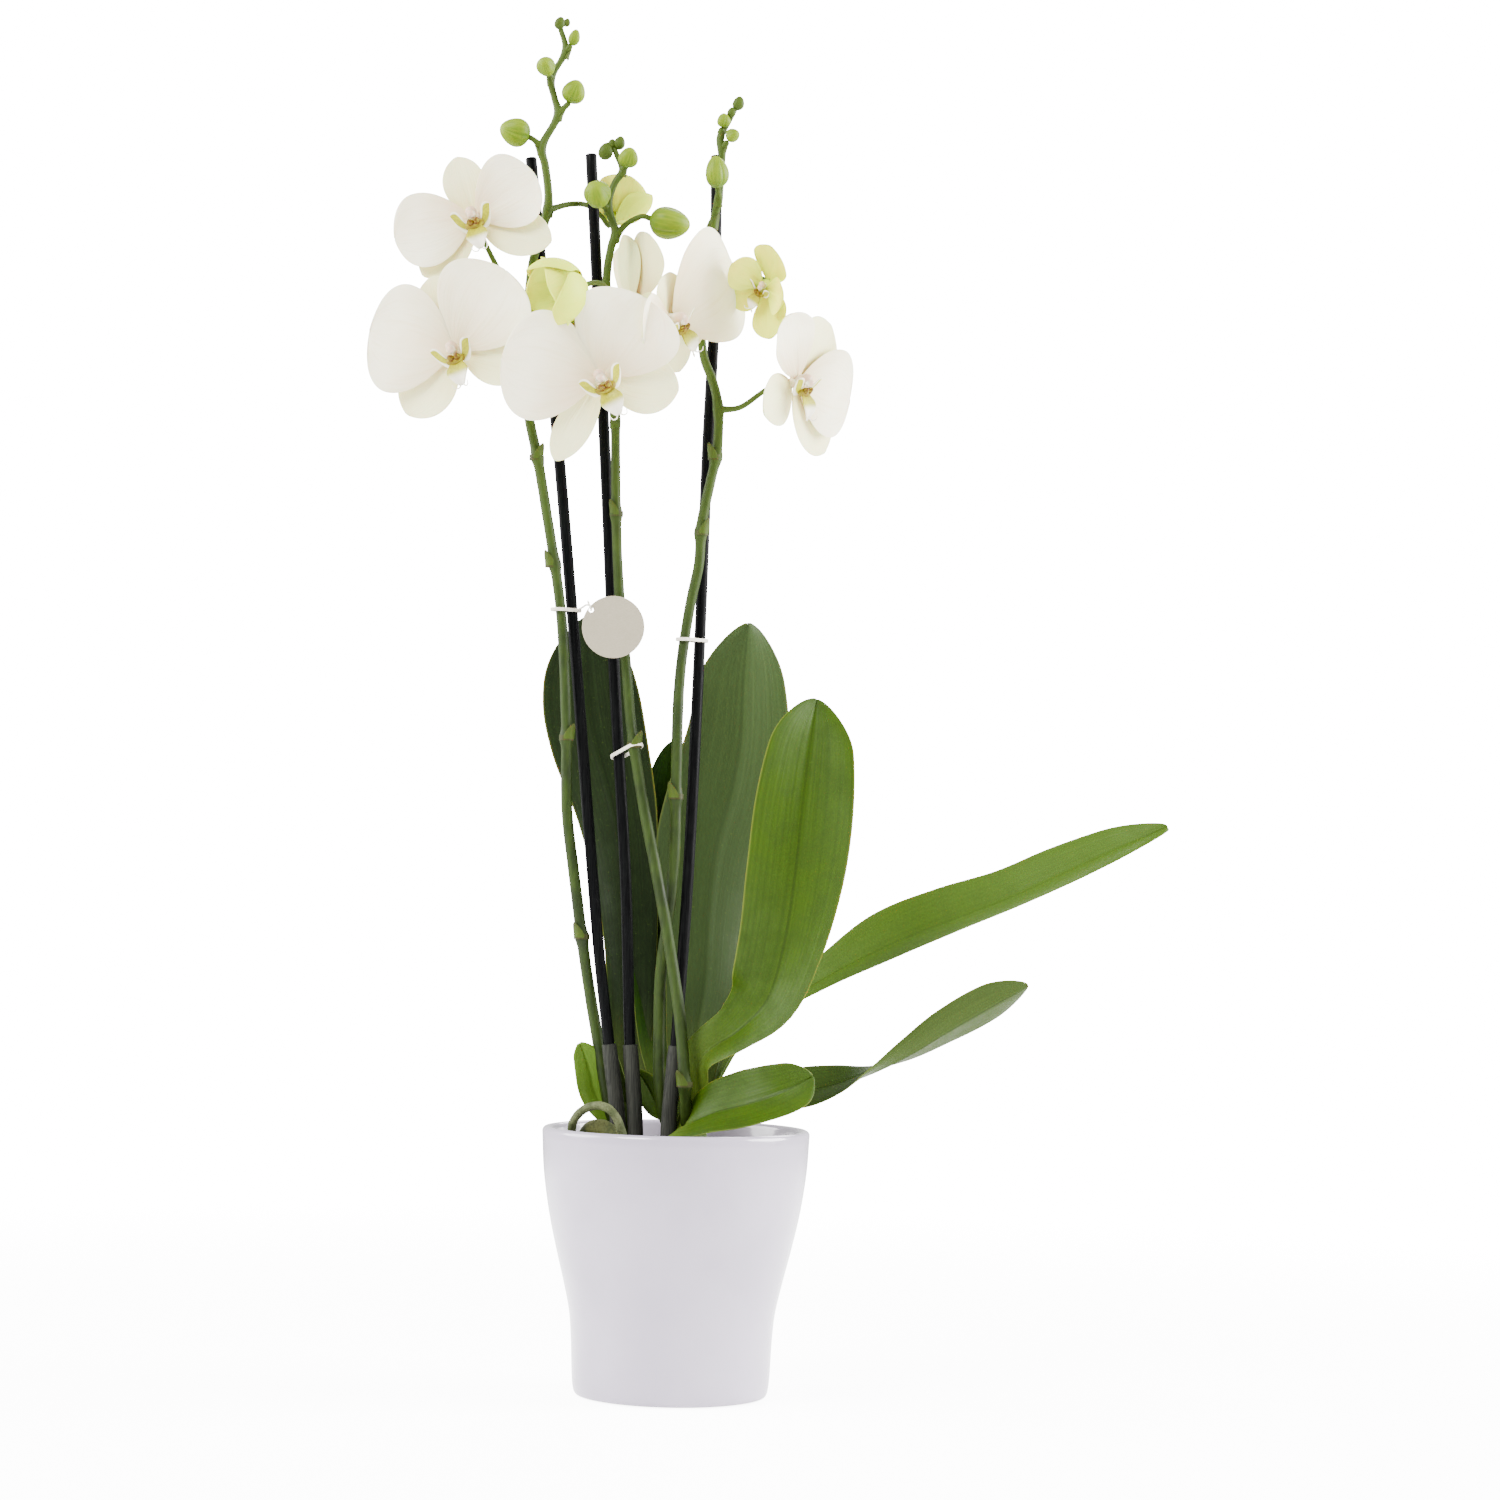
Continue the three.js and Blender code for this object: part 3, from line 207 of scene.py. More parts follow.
# each root over the medium: its slot, its radius and its route
ROOTS = {
    "root_arch": ("root_silver", 2.2, [
        (-48, -19, 112), (-52, -21, 128), (-52, -26, 140), (-44, -33, 148.5), (-34, -38, 148.5),
        (-27, -40, 138), (-24, -39, 112)]),
    "root_mass": ("root_green", 4.6, [
        (-46, -14, 112), (-47, -17, 128), (-42, -22, 136.5), (-34, -26, 136), (-28, -27, 126),
        (-27, -27, 112)]),
}

# each stem: its radii from foot to tip, its route, its nodes with a bract, the side stalks that
# carry its flowers and buds, and the small buds at its tip
STEMS = {
    "stem_left": {
        "radii": [3, 3, 2.9, 2.7, 2.6, 2.4, 2.1, 1.8, 1.4],
        "route": [
            (-30, 15, 128), (-34, 11, 142), (-38, 10, 160), (-42, 9, 182), (-47, 6, 209), (-51, 2, 234),
            (-55, 0, 262), (-60, -2, 299), (-61, -3, 335), (-63, -4, 373), (-66, -4, 405),
            (-75, -5, 457), (-79, -5, 478), (-85, -5, 505), (-87, -5, 530), (-86, -5, 561),
            (-84, -6, 582), (-77, -7, 610), (-79, -7, 631), (-81, -7, 640), (-73, -7, 658),
            (-75, -7, 666), (-77, -7, 676), (-70, -7, 691), (-73, -7, 703)],
        "nodes": [(-51, 2, 234), (-61, -3, 336), (-70.5, -4, 425), (-80, -5, 480)],
        "stalks": {
            "flower_a": [(-86, -5, 552), (-98, -7, 570), (-108, -13, 588), (-112, -20, 597)],
            "flower_b": [(-87, -5, 520), (-98, -8, 534), (-110, -16, 536), (-116, -27, 531)],
            "flower_h": [(-77, -7, 608), (-66, 3, 613), (-57, 13, 614), (-50, 18, 609), (-46.5, 20, 605)],
            "bud_left_1": [(-81, -7, 640), (-85, -8, 644), (-89, -8, 646)],
            "bud_left_2": [(-73, -7, 658), (-67, -8, 664)],
            "bud_left_3": [(-77, -7, 676), (-79, -11, 679)],
            "bud_left_4": [(-70, -7, 690), (-67, -8, 694)],
        },
        "tips": [(-73.2, -8, 705, 2.7), (-69.6, -7, 705.5, 1.8)],
    },
    "stem_middle": {
        "radii": [3, 3, 2.9, 2.7, 2.5, 2.3, 2, 1.7, 1.3],
        "route": [
            (6, 2, 130), (5, -6, 143), (4, -12, 160), (1, -12, 192), (-5, -11, 228), (-12, -10, 263),
            (-20, -8, 300), (-25, -6, 326), (-28, -5, 344), (-31, -4, 372), (-36, -4, 416),
            (-38, -4, 448), (-39, -4, 475), (-40, -4, 506), (-42, -4, 537), (-46, -5, 572),
            (-44, -5, 590), (-42, -5, 597), (-46, -5, 611), (-43, -5, 623), (-39, -5, 630),
            (-42, -5, 637), (-44, -5, 642)],
        "nodes": [(4, -12, 160), (-26, -6, 333), (-38, -4, 452)],
        "stalks": {
            "flower_c": [(-44.5, -5, 565), (-47, -18, 568), (-51, -33, 567), (-55, -42, 564.5)],
            "flower_d": [(-40, -4, 500), (-43, -12, 510), (-46, -28, 516), (-46, -44, 517)],
            "flower_i": [(-43, -4, 540), (-40, 1, 546), (-37, 5, 554), (-34, 7.5, 560)],
            "bud_middle_1": [(-42, -5, 596), (-35, -5, 603), (-28, -6, 606), (-23, -6, 604.5)],
            "bud_middle_2": [(-46, -5, 610), (-51, -10, 611.5)],
            "bud_middle_3": [(-39, -5, 630), (-37, -8, 632)],
        },
        "tips": [(-48, -5.5, 639.5, 3.7), (-45, -5.5, 643.5, 2), (-41, -5, 644, 2.9)],
    },
    "stem_right": {
        "radii": [3, 3, 2.9, 2.7, 2.6, 2.4, 2.1, 1.8, 1.2],
        "route": [
            (1, 8, 128), (-6, 5, 141), (-9, 3, 156), (-10, 2, 183), (-10, 1, 213), (-5.5, -2, 255),
            (-4, -4, 282), (-4, -5, 309), (-4, -5, 354), (-3, -4, 374), (1, -4, 406), (5, -5, 427),
            (6, -6, 448), (10, -7, 469), (13, -6, 485), (13, -4, 509), (10, -1, 522), (5, 2, 535),
            (3, 3, 558), (5, 4, 592), (8, 1, 604), (11, -3, 618), (12, -5, 640), (11, -5, 648),
            (15, -5, 656), (19, -5, 664)],
        "nodes": [(-4, -5, 307), (6, -6, 443), (12, -6.5, 482), (8, 1, 602)],
        "stalks": {
            "flower_g": [(13, -4, 507), (24, -7, 508), (37, -8, 517), (45, -10, 521)],
            "flower_e": [(3.5, 1, 556), (-4, -4, 560), (-13, -16, 558), (-18, -26, 552.5)],
            "flower_f": [(4, 3, 580), (14, 6, 581), (28, 6, 579), (38, -1, 574)],
            "bud_right_1": [(11, -3, 616), (10.2, -11.5, 621.8)],
            "bud_right_2": [(12, -5, 642), (15, -7, 646)],
            "bud_right_3": [(11, -5, 649), (12, -6.5, 653)],
        },
        "tips": [(20, -5, 666, 3), (16.5, -6, 661, 2.2)],
    },
}

# each bud: its centre, its half width and half length, and the way its tip looks
BUDS = {
    "bud_left_1": ((-95, -8, 648), (7.2, 8), (-1, -0.2, 0.25)),
    "bud_left_2": ((-65, -8, 669.5), (5.9, 6.3), (0.4, -0.2, 1)),
    "bud_left_3": ((-79.5, -15.5, 681), (4.8, 5.4), (-0.2, -0.8, 0.4)),
    "bud_left_4": ((-65.5, -8.5, 697.5), (2.9, 4.4), (0.3, -0.1, 1)),
    "bud_middle_1": ((-14, -6, 603), (8.2, 10.6), (1, -0.1, -0.15)),
    "bud_middle_2": ((-51.5, -16.5, 615.5), (6.8, 7.4), (-0.2, -0.8, 0.5)),
    "bud_middle_3": ((-36, -11, 635.5), (5, 5.3), (0.3, -0.4, 1)),
    "bud_right_1": ((9.5, -13.5, 628.5), (6, 8.2), (-0.1, -0.2, 1)),
    "bud_right_2": ((17.5, -9, 648.5), (3.5, 3.7), (1, -0.6, 0.5)),
    "bud_right_3": ((12.5, -7.5, 656.5), (3.5, 3.7), (0.1, -0.4, 1)),
}

# each flower: its slot, its place, the way its front looks, the roll of its dorsal sepal in
# degrees, how closed it is, how far petals and sepals bend back in radians, and the size of its
# lip. Each petal and sepal is (angle, length, half width), its angle counter-clockwise from the
# dorsal sepal: the left and right petal, then the dorsal, left and right sepal.
Flower = namedtuple("Flower", "slot centre facing roll close reflex lip petals sepals")
FLOWERS = {
    "a": Flower(
        "petal_white", (-113, -28, 599), (-0.15, -1, 0.1), 19, 0.06, (0, 0), 1.4,
        [(87, 40, 20), (-74, 36, 20.5)], [(0, 31.5, 11), (121, 37, 12), (-126, 40, 12.5)]),
    "b": Flower(
        "petal_white", (-120, -36, 530), (-0.25, -1, -0.05), 20, 0.03, (0, 0), 1.4,
        [(58, 45, 28), (-53, 46, 27)], [(0, 38, 14), (120, 39, 15), (-120, 37, 14)]),
    "c": Flower(
        "petal_green", (-58.7, -46, 562.6), (-0.8, -0.55, -0.3), 5, 0.85, (0, 0), 0,
        [(80, 33, 18), (-80, 33, 19)], [(0, 31, 17), (130, 32, 17), (-130, 31, 16)]),
    "d": Flower(
        "petal_white", (-46, -50, 516), (0.05, -1, -0.1), 28, 0, (0, 0), 1.5,
        [(52, 48.5, 28), (-54, 44, 28)], [(2, 36, 13), (124, 45, 9.5), (-124, 37.5, 15)]),
    "e": Flower(
        "petal_white", (-11.9, -32, 548.8), (0.8, -0.6, -0.1), 35, 0.06, (0, 0.2), 1.3,
        [(80, 27, 20), (-84, 52, 32)], [(-30, 22, 12), (175, 26, 12), (-124, 29, 12)]),
    "f": Flower(
        "petal_green", (36.3, -8, 571), (-0.6, -0.75, -0.3), -36, 0.3, (0, 0), 0.9,
        [(78, 20, 11), (-78, 20, 10)], [(0, 25, 11.5), (134, 20, 10), (-134, 26, 12)]),
    "g": Flower(
        "petal_white", (52.5, -14, 521.2), (0.8, -0.6, -0.15), 8, 0.04, (0, 0), 1.3,
        [(20, 35, 17), (-103, 43, 23)], [(-42, 37, 18), (120, 28, 14), (-142, 45, 15)]),
    "h": Flower(
        "petal_green", (-44.5, 22, 610), (0.25, 0.25, 0.9), -20, 0.55, (0, 0), 0,
        [(75, 26, 13), (-75, 27, 13.5)], [(0, 22, 11), (130, 22, 11), (-130, 22, 11)]),
    "i": Flower(
        "petal_white", (-31, 9, 563.2), (0.85, 0.45, 0.25), -8, 0.1, (0, 0), 0,
        [(36, 36, 17), (-36, 36, 14)], [(0, 34, 14), (130, 22, 12), (-130, 22, 12)]),
}

# each tie: the two round centres that its loop runs round, inner radius, height and tilt
TIES = {
    "tie_left": (((-66.5, -4), (-59.5, 2)), 3.5, 402, 0),
    "tie_middle": (((-25.6, -5.6), (-34.2, 3.6)), 3.7, 330, 0.35),
    "tie_right": (((-1.6, -4.4), (6.3, 4.3)), 3.5, 388, 0),
}

# the string's middle line, from the left tie through the tag's hole to its free end
TAG_STRING = [
    (-57.4, -1.2, 402), (-54.5, -5.5, 403.2), (-52, -9, 404.4), (-49.6, -12, 403.2),
    (-49.5, -13.2, 401.3), (-49.8, -14.6, 402.6), (-51.4, -12, 406.2),
]

# ---------------------------------------------------------------- curves


def unit(vectors):
    """Each vector at length 1."""
    vectors = np.asarray(vectors, float)
    return vectors / np.linalg.norm(vectors, axis=-1, keepdims=True)


def spline(keys, t):
    """Smooth values through rows of keys at parameters t from 0 to 1, as a centripetal
    Catmull-Rom curve. The first three columns are places, and their spacing sets the pace."""
    keys = np.asarray(keys, float)
    padded = np.vstack([2 * keys[0] - keys[1], keys, 2 * keys[-1] - keys[-2]])
    gaps = np.linalg.norm(np.diff(padded[:, :3], axis=0), axis=1) ** 0.5
    place = np.clip(t, 0, 1) * (len(keys) - 1)
    span = np.minimum(place.astype(int), len(keys) - 2)
    w = (place - span)[..., None]
    p0, p1, p2, p3 = (padded[span + i] for i in range(4))
    d0, d1, d2 = (gaps[span + i][..., None] for i in range(3))
    leaving = d1 * ((p1 - p0) / d0 - (p2 - p0) / (d0 + d1) + (p2 - p1) / d1)
    arriving = d1 * ((p2 - p1) / d1 - (p3 - p1) / (d1 + d2) + (p3 - p2) / d2)
    square = 3 * (p2 - p1) - 2 * leaving - arriving
    cube = 2 * (p1 - p2) + leaving + arriving
    return p1 + leaving * w + square * w**2 + cube * w**3


def heading(route, t, nudge):
    """Directions that a route runs in at parameters t."""
    return unit(spline(route, t + nudge)[..., :3] - spline(route, t - nudge)[..., :3])


def measured(route):
    """Distances along a route in its own units, and the spline parameters that go with them."""
    fine = np.linspace(0, 1, 60 * len(route))
    steps = np.linalg.norm(np.diff(spline(route, fine)[:, :3], axis=0), axis=1)
    return np.concatenate([[0], np.cumsum(steps)]), fine


def paced(route, shares):
    """Spline parameters at the given shares of a route's length."""
    distances, fine = measured(route)
    return np.interp(shares, distances / distances[-1], fine)


def along_keys(keys, t):
    """Value along a list of evenly spaced keys."""
    return np.interp(t, np.linspace(0, 1, len(keys)), keys)


def bell(distance, width):
    """Bell curve that is 1 in the middle."""
    return np.exp(-((distance / width) ** 2))


def bearings(count):
    """Evenly spaced bearings once round."""
    return np.linspace(0, 2 * math.pi, count, endpoint=False)


def spokes(side, over, around):
    """Directions round each point of a route, given its side and over directions."""
    bearing = bearings(around)[:, None]
    return side[:, None] * np.cos(bearing) + over[:, None] * np.sin(bearing)


# ---------------------------------------------------------------- closed shapes
# A shape is (points, faces, values): values are numbers kept on each point for the materials.


def quads(index):
    """Faces between the rows and columns of a grid of point numbers."""
    corners = [index[:-1, :-1], index[:-1, 1:], index[1:, 1:], index[1:, :-1]]
    return np.stack(corners, axis=-1).reshape(-1, 4)


def skin(rings, closed=False, **values):
    """Closed skin over rings of points, each ring going round once. Either the first and last
    ring have no width, so that they close the ends, or the last ring is joined to the first."""
    count, around = rings.shape[:2]
    index = np.arange(count * around).reshape(count, around)
    faces = quads(np.pad(index, ((0, int(closed)), (0, 1)), "wrap"))
    full = {name: np.broadcast_to(value, (count, around)).ravel() for name, value in values.items()}
    return rings.reshape(-1, 3), faces, full


def lathe(profile, around):
    """Turned shape from [radius, height] points that start and end on the axis."""
    bearing = bearings(around)
    radius, height = (np.array(column, float)[:, None] for column in zip(*profile))
    round_about = [radius * np.cos(bearing), radius * np.sin(bearing), height + 0 * bearing]
    return skin(np.stack(round_about, axis=-1))


def tube(route, radii, around=14, step=3.0, dome=1.0, swells=(), rough=0.0, grain=4.0, **values):
    """Round rod along a route, with domed ends inside its length. swells are (place, extra
    radius, reach) of its thicker spots, and rough is how uneven it is, over grain millimetres."""
    distances, fine = measured(route)
    length = distances[-1]
    turn = np.linspace(0, math.pi / 2, 6)
    rising, inward = np.sin(turn), 1 - np.cos(turn)
    first, last = dome * radii[0], dome * radii[-1]
    middle = np.linspace(first, length - last, max(2, round(length / step)))[1:-1]
    reach = np.concatenate([first * inward, middle, length - last * inward[::-1]])
    closing = np.concatenate([rising, np.ones(len(middle)), rising[::-1]])
    t = np.interp(reach, distances, fine)
    centres = spline(route, t)[:, :3]
    forward = heading(route, t, 0.002)
    side = np.zeros_like(forward)
    before = np.array([1.0, 0, 0])
    for i, direction in enumerate(forward):
        before = unit(before - direction * before.dot(direction))
        side[i] = before
    radius = along_keys(radii, t)
    for place, extra, spread in swells:
        radius += extra * np.exp(-np.sum((centres - place) ** 2, axis=1) / spread**2)
    outward = spokes(side, np.cross(side, forward), around)
    width = (radius * closing)[:, None, None] * np.ones((1, around, 1))
    if rough:
        surface = (centres[:, None] + outward * width) / grain
        uneven = [noise.noise(Vector(point)) for point in surface.reshape(-1, 3)]
        width *= 1 + rough * np.array(uneven).reshape(width.shape)
    values.setdefault("along", (reach / length)[:, None])
    values.setdefault("across", bearings(around) / math.pi - 1)
    return skin(centres[:, None] + outward * width, **values)


def ball(centre, radii, direction, around=24, high=16, ribs=0.0, seam=0.0, narrow=0.18, **values):
    """Egg that looks in a direction, with three ribs and three seams between them."""
    polar = np.linspace(0, math.pi, high + 1)[:, None]
    bearing = bearings(around)
    height = np.cos(polar)
    swell = 1 + ribs * np.cos(3 * bearing) * (1 - height**2)
    from_seam = (bearing * 3 / (2 * math.pi)) % 1 - 0.5
    swell = swell - seam * bell(from_seam, 0.05) * np.sin(polar) ** 0.5
    wide = np.sin(polar) * radii[0] * swell * (1 - narrow * height)
    local = [wide * np.cos(bearing), height * radii[1] + 0 * bearing, wide * np.sin(bearing)]
    turn = Vector((0, 1, 0)).rotation_difference(Vector(direction)).to_matrix()
    values.setdefault("along", (1 + height) / 2)
    values.setdefault("across", 2 * np.abs(from_seam) + 0 * height)
    return skin(np.stack(local, axis=-1) @ np.array(turn).T + np.array(centre), **values)


def even(amount):
    """The same thickness or value all over a sheet."""
    return lambda s, v: amount + 0 * s


def sheet(place, rows, columns, front, back, **values):
    """Thin closed blade about the surface place(s, v), s from base to tip and v from -1 to 1
    across. front and back give how thick it is on each side of that surface, and both faces
    meet at its margin. Each of them, and each kept value, is worked out from s and v."""
    s = np.repeat(np.linspace(0, 1, rows + 1)[:, None], columns + 1, axis=1)
    v = np.repeat(np.sin(np.linspace(-1, 1, columns + 1) * math.pi / 2)[None], rows + 1, axis=0)
    nudge = 0.004
    inner_s = np.clip(s, nudge, 1 - 2.5 * nudge)
    inner_v = np.clip(v, nudge - 1, 1 - nudge)
    lengthwise = place(inner_s + nudge, inner_v) - place(inner_s - nudge, inner_v)
    across = place(inner_s, inner_v + nudge) - place(inner_s, inner_v - nudge)
    thin = np.sqrt(np.clip((1 - np.abs(v) ** 5) * (1 - np.abs(2 * s - 1) ** 24), 0, 1))[..., None]
    offset = unit(np.cross(across, lengthwise)) * thin
    middle = place(s, v)
    face = middle + offset * front(s, v)[..., None]
    reverse = middle - offset * back(s, v)[..., None]
    inside = np.zeros(s.shape, bool)
    inside[1:-1, 1:-1] = True
    front_index = np.arange(s.size).reshape(s.shape)
    back_index = front_index.copy()
    back_index[inside] = s.size + np.arange(np.count_nonzero(inside))
    faces = np.concatenate([quads(front_index), quads(back_index)[:, ::-1]])
    points = np.concatenate([face.reshape(-1, 3), reverse[inside]])
    full = {"upper": np.concatenate([inside.ravel(), -np.ones(np.count_nonzero(inside))])}
    known = {"along": s, "across": v, **{name: value(s, v) for name, value in values.items()}}
    for name, value in known.items():
        full[name] = np.concatenate([value.ravel(), value[inside]])
    return points, faces, full


# ---------------------------------------------------------------- pieces

KEPT_VALUES = ("along", "across", "upper", "tint", "stain")


def placed(name, data):
    """A new object in the scene."""
    made = bpy.data.objects.new(name, data)
    bpy.context.scene.collection.objects.link(made)
    return made


def piece(name, slot, shapes, nodes=(), sharp=60, finish=None):
    """One mesh piece from closed shapes, in its slot's material unless another is given. It
    rides on the root body and stands for the nodes."""
    points, faces, start = [], [], 0
    kept = {value: [] for value in KEPT_VALUES}
    for shape_points, shape_faces, values in shapes:
        points.append(shape_points)
        faces += (np.array(shape_faces) + start).tolist()
        for value in KEPT_VALUES:
            kept[value].append(values.get(value, np.zeros(len(shape_points))))
        start += len(shape_points)
    mesh = bpy.data.meshes.new(name)
    mesh.from_pydata((np.concatenate(points) * MM).tolist(), [], faces)
    for value, columns in kept.items():
        layer = mesh.attributes.new(value, "FLOAT", "POINT")
        layer.data.foreach_set("value", np.concatenate(columns).astype(np.float32))
    build = bmesh.new()
    build.from_mesh(mesh)
    bmesh.ops.remove_doubles(build, verts=build.verts, dist=1e-6)
    bmesh.ops.recalc_face_normals(build, faces=build.faces)
    build.to_mesh(mesh)
    build.free()
    mesh.shade_smooth()
    mesh.set_sharp_from_angle(angle=math.radians(sharp))
    mesh.materials.append(finish or FINISHES[slot])
    made = placed(name, mesh)
    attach(made, "root")
    if nodes:
        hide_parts(*nodes)


# ---------------------------------------------------------------- materials


def rgb(red, green, blue):
    """Linear colour of an sRGB colour given from 0 to 255."""
    shares = [value / 255 for value in (red, green, blue)]
    linear = [v / 12.92 if v <= 0.04045 else ((v + 0.055) / 1.055) ** 2.4 for v in shares]
    return (*linear, 1)


def scaled(colour, factor):
    """A linear colour made darker by a factor."""
    return (*(value * factor for value in colour[:3]), 1)


class Finish:
    """A node material round one principled shader, with short calls for what it is made of."""

    def __init__(self, name, **sockets):
        self.material = bpy.data.materials.new(name)
        self.material.use_nodes = True
        self.tree = self.material.node_tree
        self.shader = self.tree.nodes["Principled BSDF"]
        for socket, value in sockets.items():
            self.shader.inputs[socket.replace("_", " ")].default_value = value

    def node(self, kind, inputs, **settings):
        made = self.tree.nodes.new("ShaderNode" + kind)
        for name, value in settings.items():
            setattr(made, name, value)
        for key, value in inputs.items():
            if isinstance(value, bpy.types.NodeSocket):
                self.tree.links.new(value, made.inputs[key])
            else:
                made.inputs[key].default_value = value
        return made

    def kept(self, name):
        return self.node("Attribute", {}, attribute_name=name).outputs["Fac"]

    def math(self, operation, *values):
        return self.node("Math", dict(enumerate(values)), operation=operation).outputs[0]

    def place(self):
        return self.node("TexCoord", {}).outputs["Object"]

    def noise(self, size, detail=3.0, stretch=(1, 1, 1), rough=0.5, vector=None):
        """Noise with features of about size millimetres, or of size units of a given vector."""
        scale = 1 / size if vector else 1 / (size * MM)
        moved = self.node("Mapping", {"Vector": vector or self.place(), "Scale": stretch}).outputs[0]
        inputs = {"Vector": moved, "Scale": scale, "Detail": detail, "Roughness": rough}
        return self.node("TexNoise", inputs).outputs["Fac"]

    def streaks(self, wide, long, detail=3.0, rough=0.5, layer=0.0):
        """Noise in lines from base to tip, about wide of them across and long of them along."""
        lines = {0: self.math("MULTIPLY", self.kept("across"), wide),
                 1: self.math("MULTIPLY", self.kept("along"), long), 2: layer}
        return self.noise(1, detail, rough=rough, vector=self.node("CombineXYZ", lines).outputs[0])

    def range(self, value, low, high, to_low=0.0, to_high=1.0, kind="SMOOTHSTEP"):
        inputs = {0: value, 1: low, 2: high, 3: to_low, 4: to_high}
        return self.node("MapRange", inputs, interpolation_type=kind).outputs[0]

    def over(self, base, *coats):
        """Coats over a base colour. Each is (colour, share), or (colour, value, low, high) for a
        share from 0 to 1 as the value goes from low to high, or with the two shares after that."""
        for colour, value, *limits in coats:
            share = self.range(value, *limits) if limits else value
            mixed = self.node("Mix", {0: share, 6: base, 7: colour}, data_type="RGBA")
            base = mixed.outputs[2]
        return base

    def link(self, name, socket):
        self.tree.links.new(socket, self.shader.inputs[name])

    def done(self, colour, uneven, smooth, rough, relief, distance, strength):
        """The material with this colour, a roughness from smooth to rough as uneven grows, and
        a relief whose height of 1 is distance millimetres."""
        self.link("Base Color", colour)
        self.link("Roughness", self.range(uneven, 0.3, 0.7, smooth, rough))
        raised = {"Height": relief, "Distance": distance * MM, "Strength": strength}
        self.link("Normal", self.node("Bump", raised).outputs[0])
        return self.material


def glaze():
    made = Finish("white_glaze", Coat_Weight=0.7, Coat_Roughness=0.05, IOR=1.5)
    # the glaze's colours stand well below white: painted shade, for the lesser light that falls on the
    # pot than on the flowers
    base = made.over(
        rgb(153, 145, 160), (rgb(159, 151, 166), made.noise(45), 0.35, 0.65),
        (rgb(134, 130, 140), made.noise(0.9, 2), 0.68, 0.8, 0, 0.35))
    return made.done(base, made.noise(6, 4), 0.16, 0.26, made.noise(3.5, 2), 0.05, 0.35)


def clear_plastic():
    made = Finish("clear_plastic", Transmission_Weight=0.92, IOR=1.46)
    base = made.over(rgb(228, 233, 231), (rgb(240, 243, 242), made.noise(20), 0.3, 0.7))
    return made.done(base, made.noise(2, 4), 0.12, 0.34, made.noise(1.5), 0.05, 0.3)


def bark():
    made = Finish("bark", Specular_IOR_Level=0.25)
    layers = made.noise(5, 5, stretch=(0.6, 0.6, 3.5), rough=0.65)
    base = made.over(
        rgb(52, 36, 24), (rgb(122, 86, 55), layers, 0.35, 0.68),
        (rgb(92, 54, 33), made.noise(9), 0.5, 0.68, 0, 0.7),
        (rgb(158, 124, 88), made.noise(1.2, 4), 0.62, 0.75, 0, 0.5))
    relief = made.math("MULTIPLY_ADD", made.noise(0.8, 4), 0.4, layers)
    return made.done(base, layers, 0.8, 0.97, relief, 1.0, 0.9)


def plastic(name, shade, worn, smooth, rough, shine=0.2, drawn=(3, 3, 0.08)):
    """Moulded or drawn plastic with fine lines along it and a little dust."""
    made = Finish(name, IOR=1.49, Specular_IOR_Level=shine)
    lines, dust = made.noise(1.4, stretch=drawn), made.noise(5, 5)
    base = made.over(shade, (worn, lines, 0.4, 0.62), (worn, dust, 0.55, 0.75, 0, 0.4))
    return made.done(base, dust, smooth, rough, lines, 0.12, 0.5)


def card():
    made = Finish("tag_card", Specular_IOR_Level=0.25)
    fibres = made.noise(1.1, 5, stretch=(1, 1, 2.2), rough=0.7)
    base = made.over(
        rgb(144, 136, 116), (rgb(152, 143, 124), fibres, 0.35, 0.65),
        (rgb(136, 128, 108), made.noise(14), 0.45, 0.75, 0, 0.4))
    return made.done(base, fibres, 0.78, 0.92, fibres, 0.12, 0.6)


def leaf_finish(name, upper, under, vein, smooth=0.38, rough=0.52, painted_foot_shade=0):
    """Waxy leaf: fine veins side by side from base to tip, mottling and a pale back. A dark line down the
    midrib and a darker lower half, as much as the last argument asks, are painted shade.
    """
    made = Finish(name, Subsurface_Weight=0.05, Subsurface_Scale=0.003, Specular_IOR_Level=0.08)
    along, from_midrib = made.kept("along"), made.math("ABSOLUTE", made.kept("across"))
    streaks, mottle = made.streaks(16, 2.2), made.noise(11, 4)
    top = made.over(
        upper, (vein, streaks, 0.32, 0.68), (scaled(upper, 0.72), mottle, 0.35, 0.72, 0, 0.45))
    back = made.over(under, (scaled(under, 0.85), streaks, 0.3, 0.7))
    base = made.over(
        back, (top, made.kept("upper"), -0.5, 0.5),
        # the dark line down the midrib, on both faces, is painted shade for its crease
        (scaled(vein, 0.5), from_midrib, 0.012, 0.05, 0.6, 0),
        (rgb(98, 110, 40), from_midrib, 0.955, 1, 0, 0.5),
        # painted shade over the lower half of the blade, as much as the last argument asks
        (scaled(upper, 0.4), along, 0.25, 0.75, painted_foot_shade, 0),
        (rgb(92, 110, 44), along, 0, 0.16, 0.45, 0),
        # kept tint: a brighter green, partly painted light on leaf_8
        (rgb(84, 114, 34), made.kept("tint")),
        (rgb(70, 88, 26), made.noise(1.6), 0.64, 0.78, 0, 0.25))
    fine = made.math("MULTIPLY", made.streaks(46, 5, 2), 0.5)
    relief = made.math("MULTIPLY_ADD", streaks, 0.8, fine)
    return made.done(base, mottle, smooth, rough, relief, 0.3, 0.55)


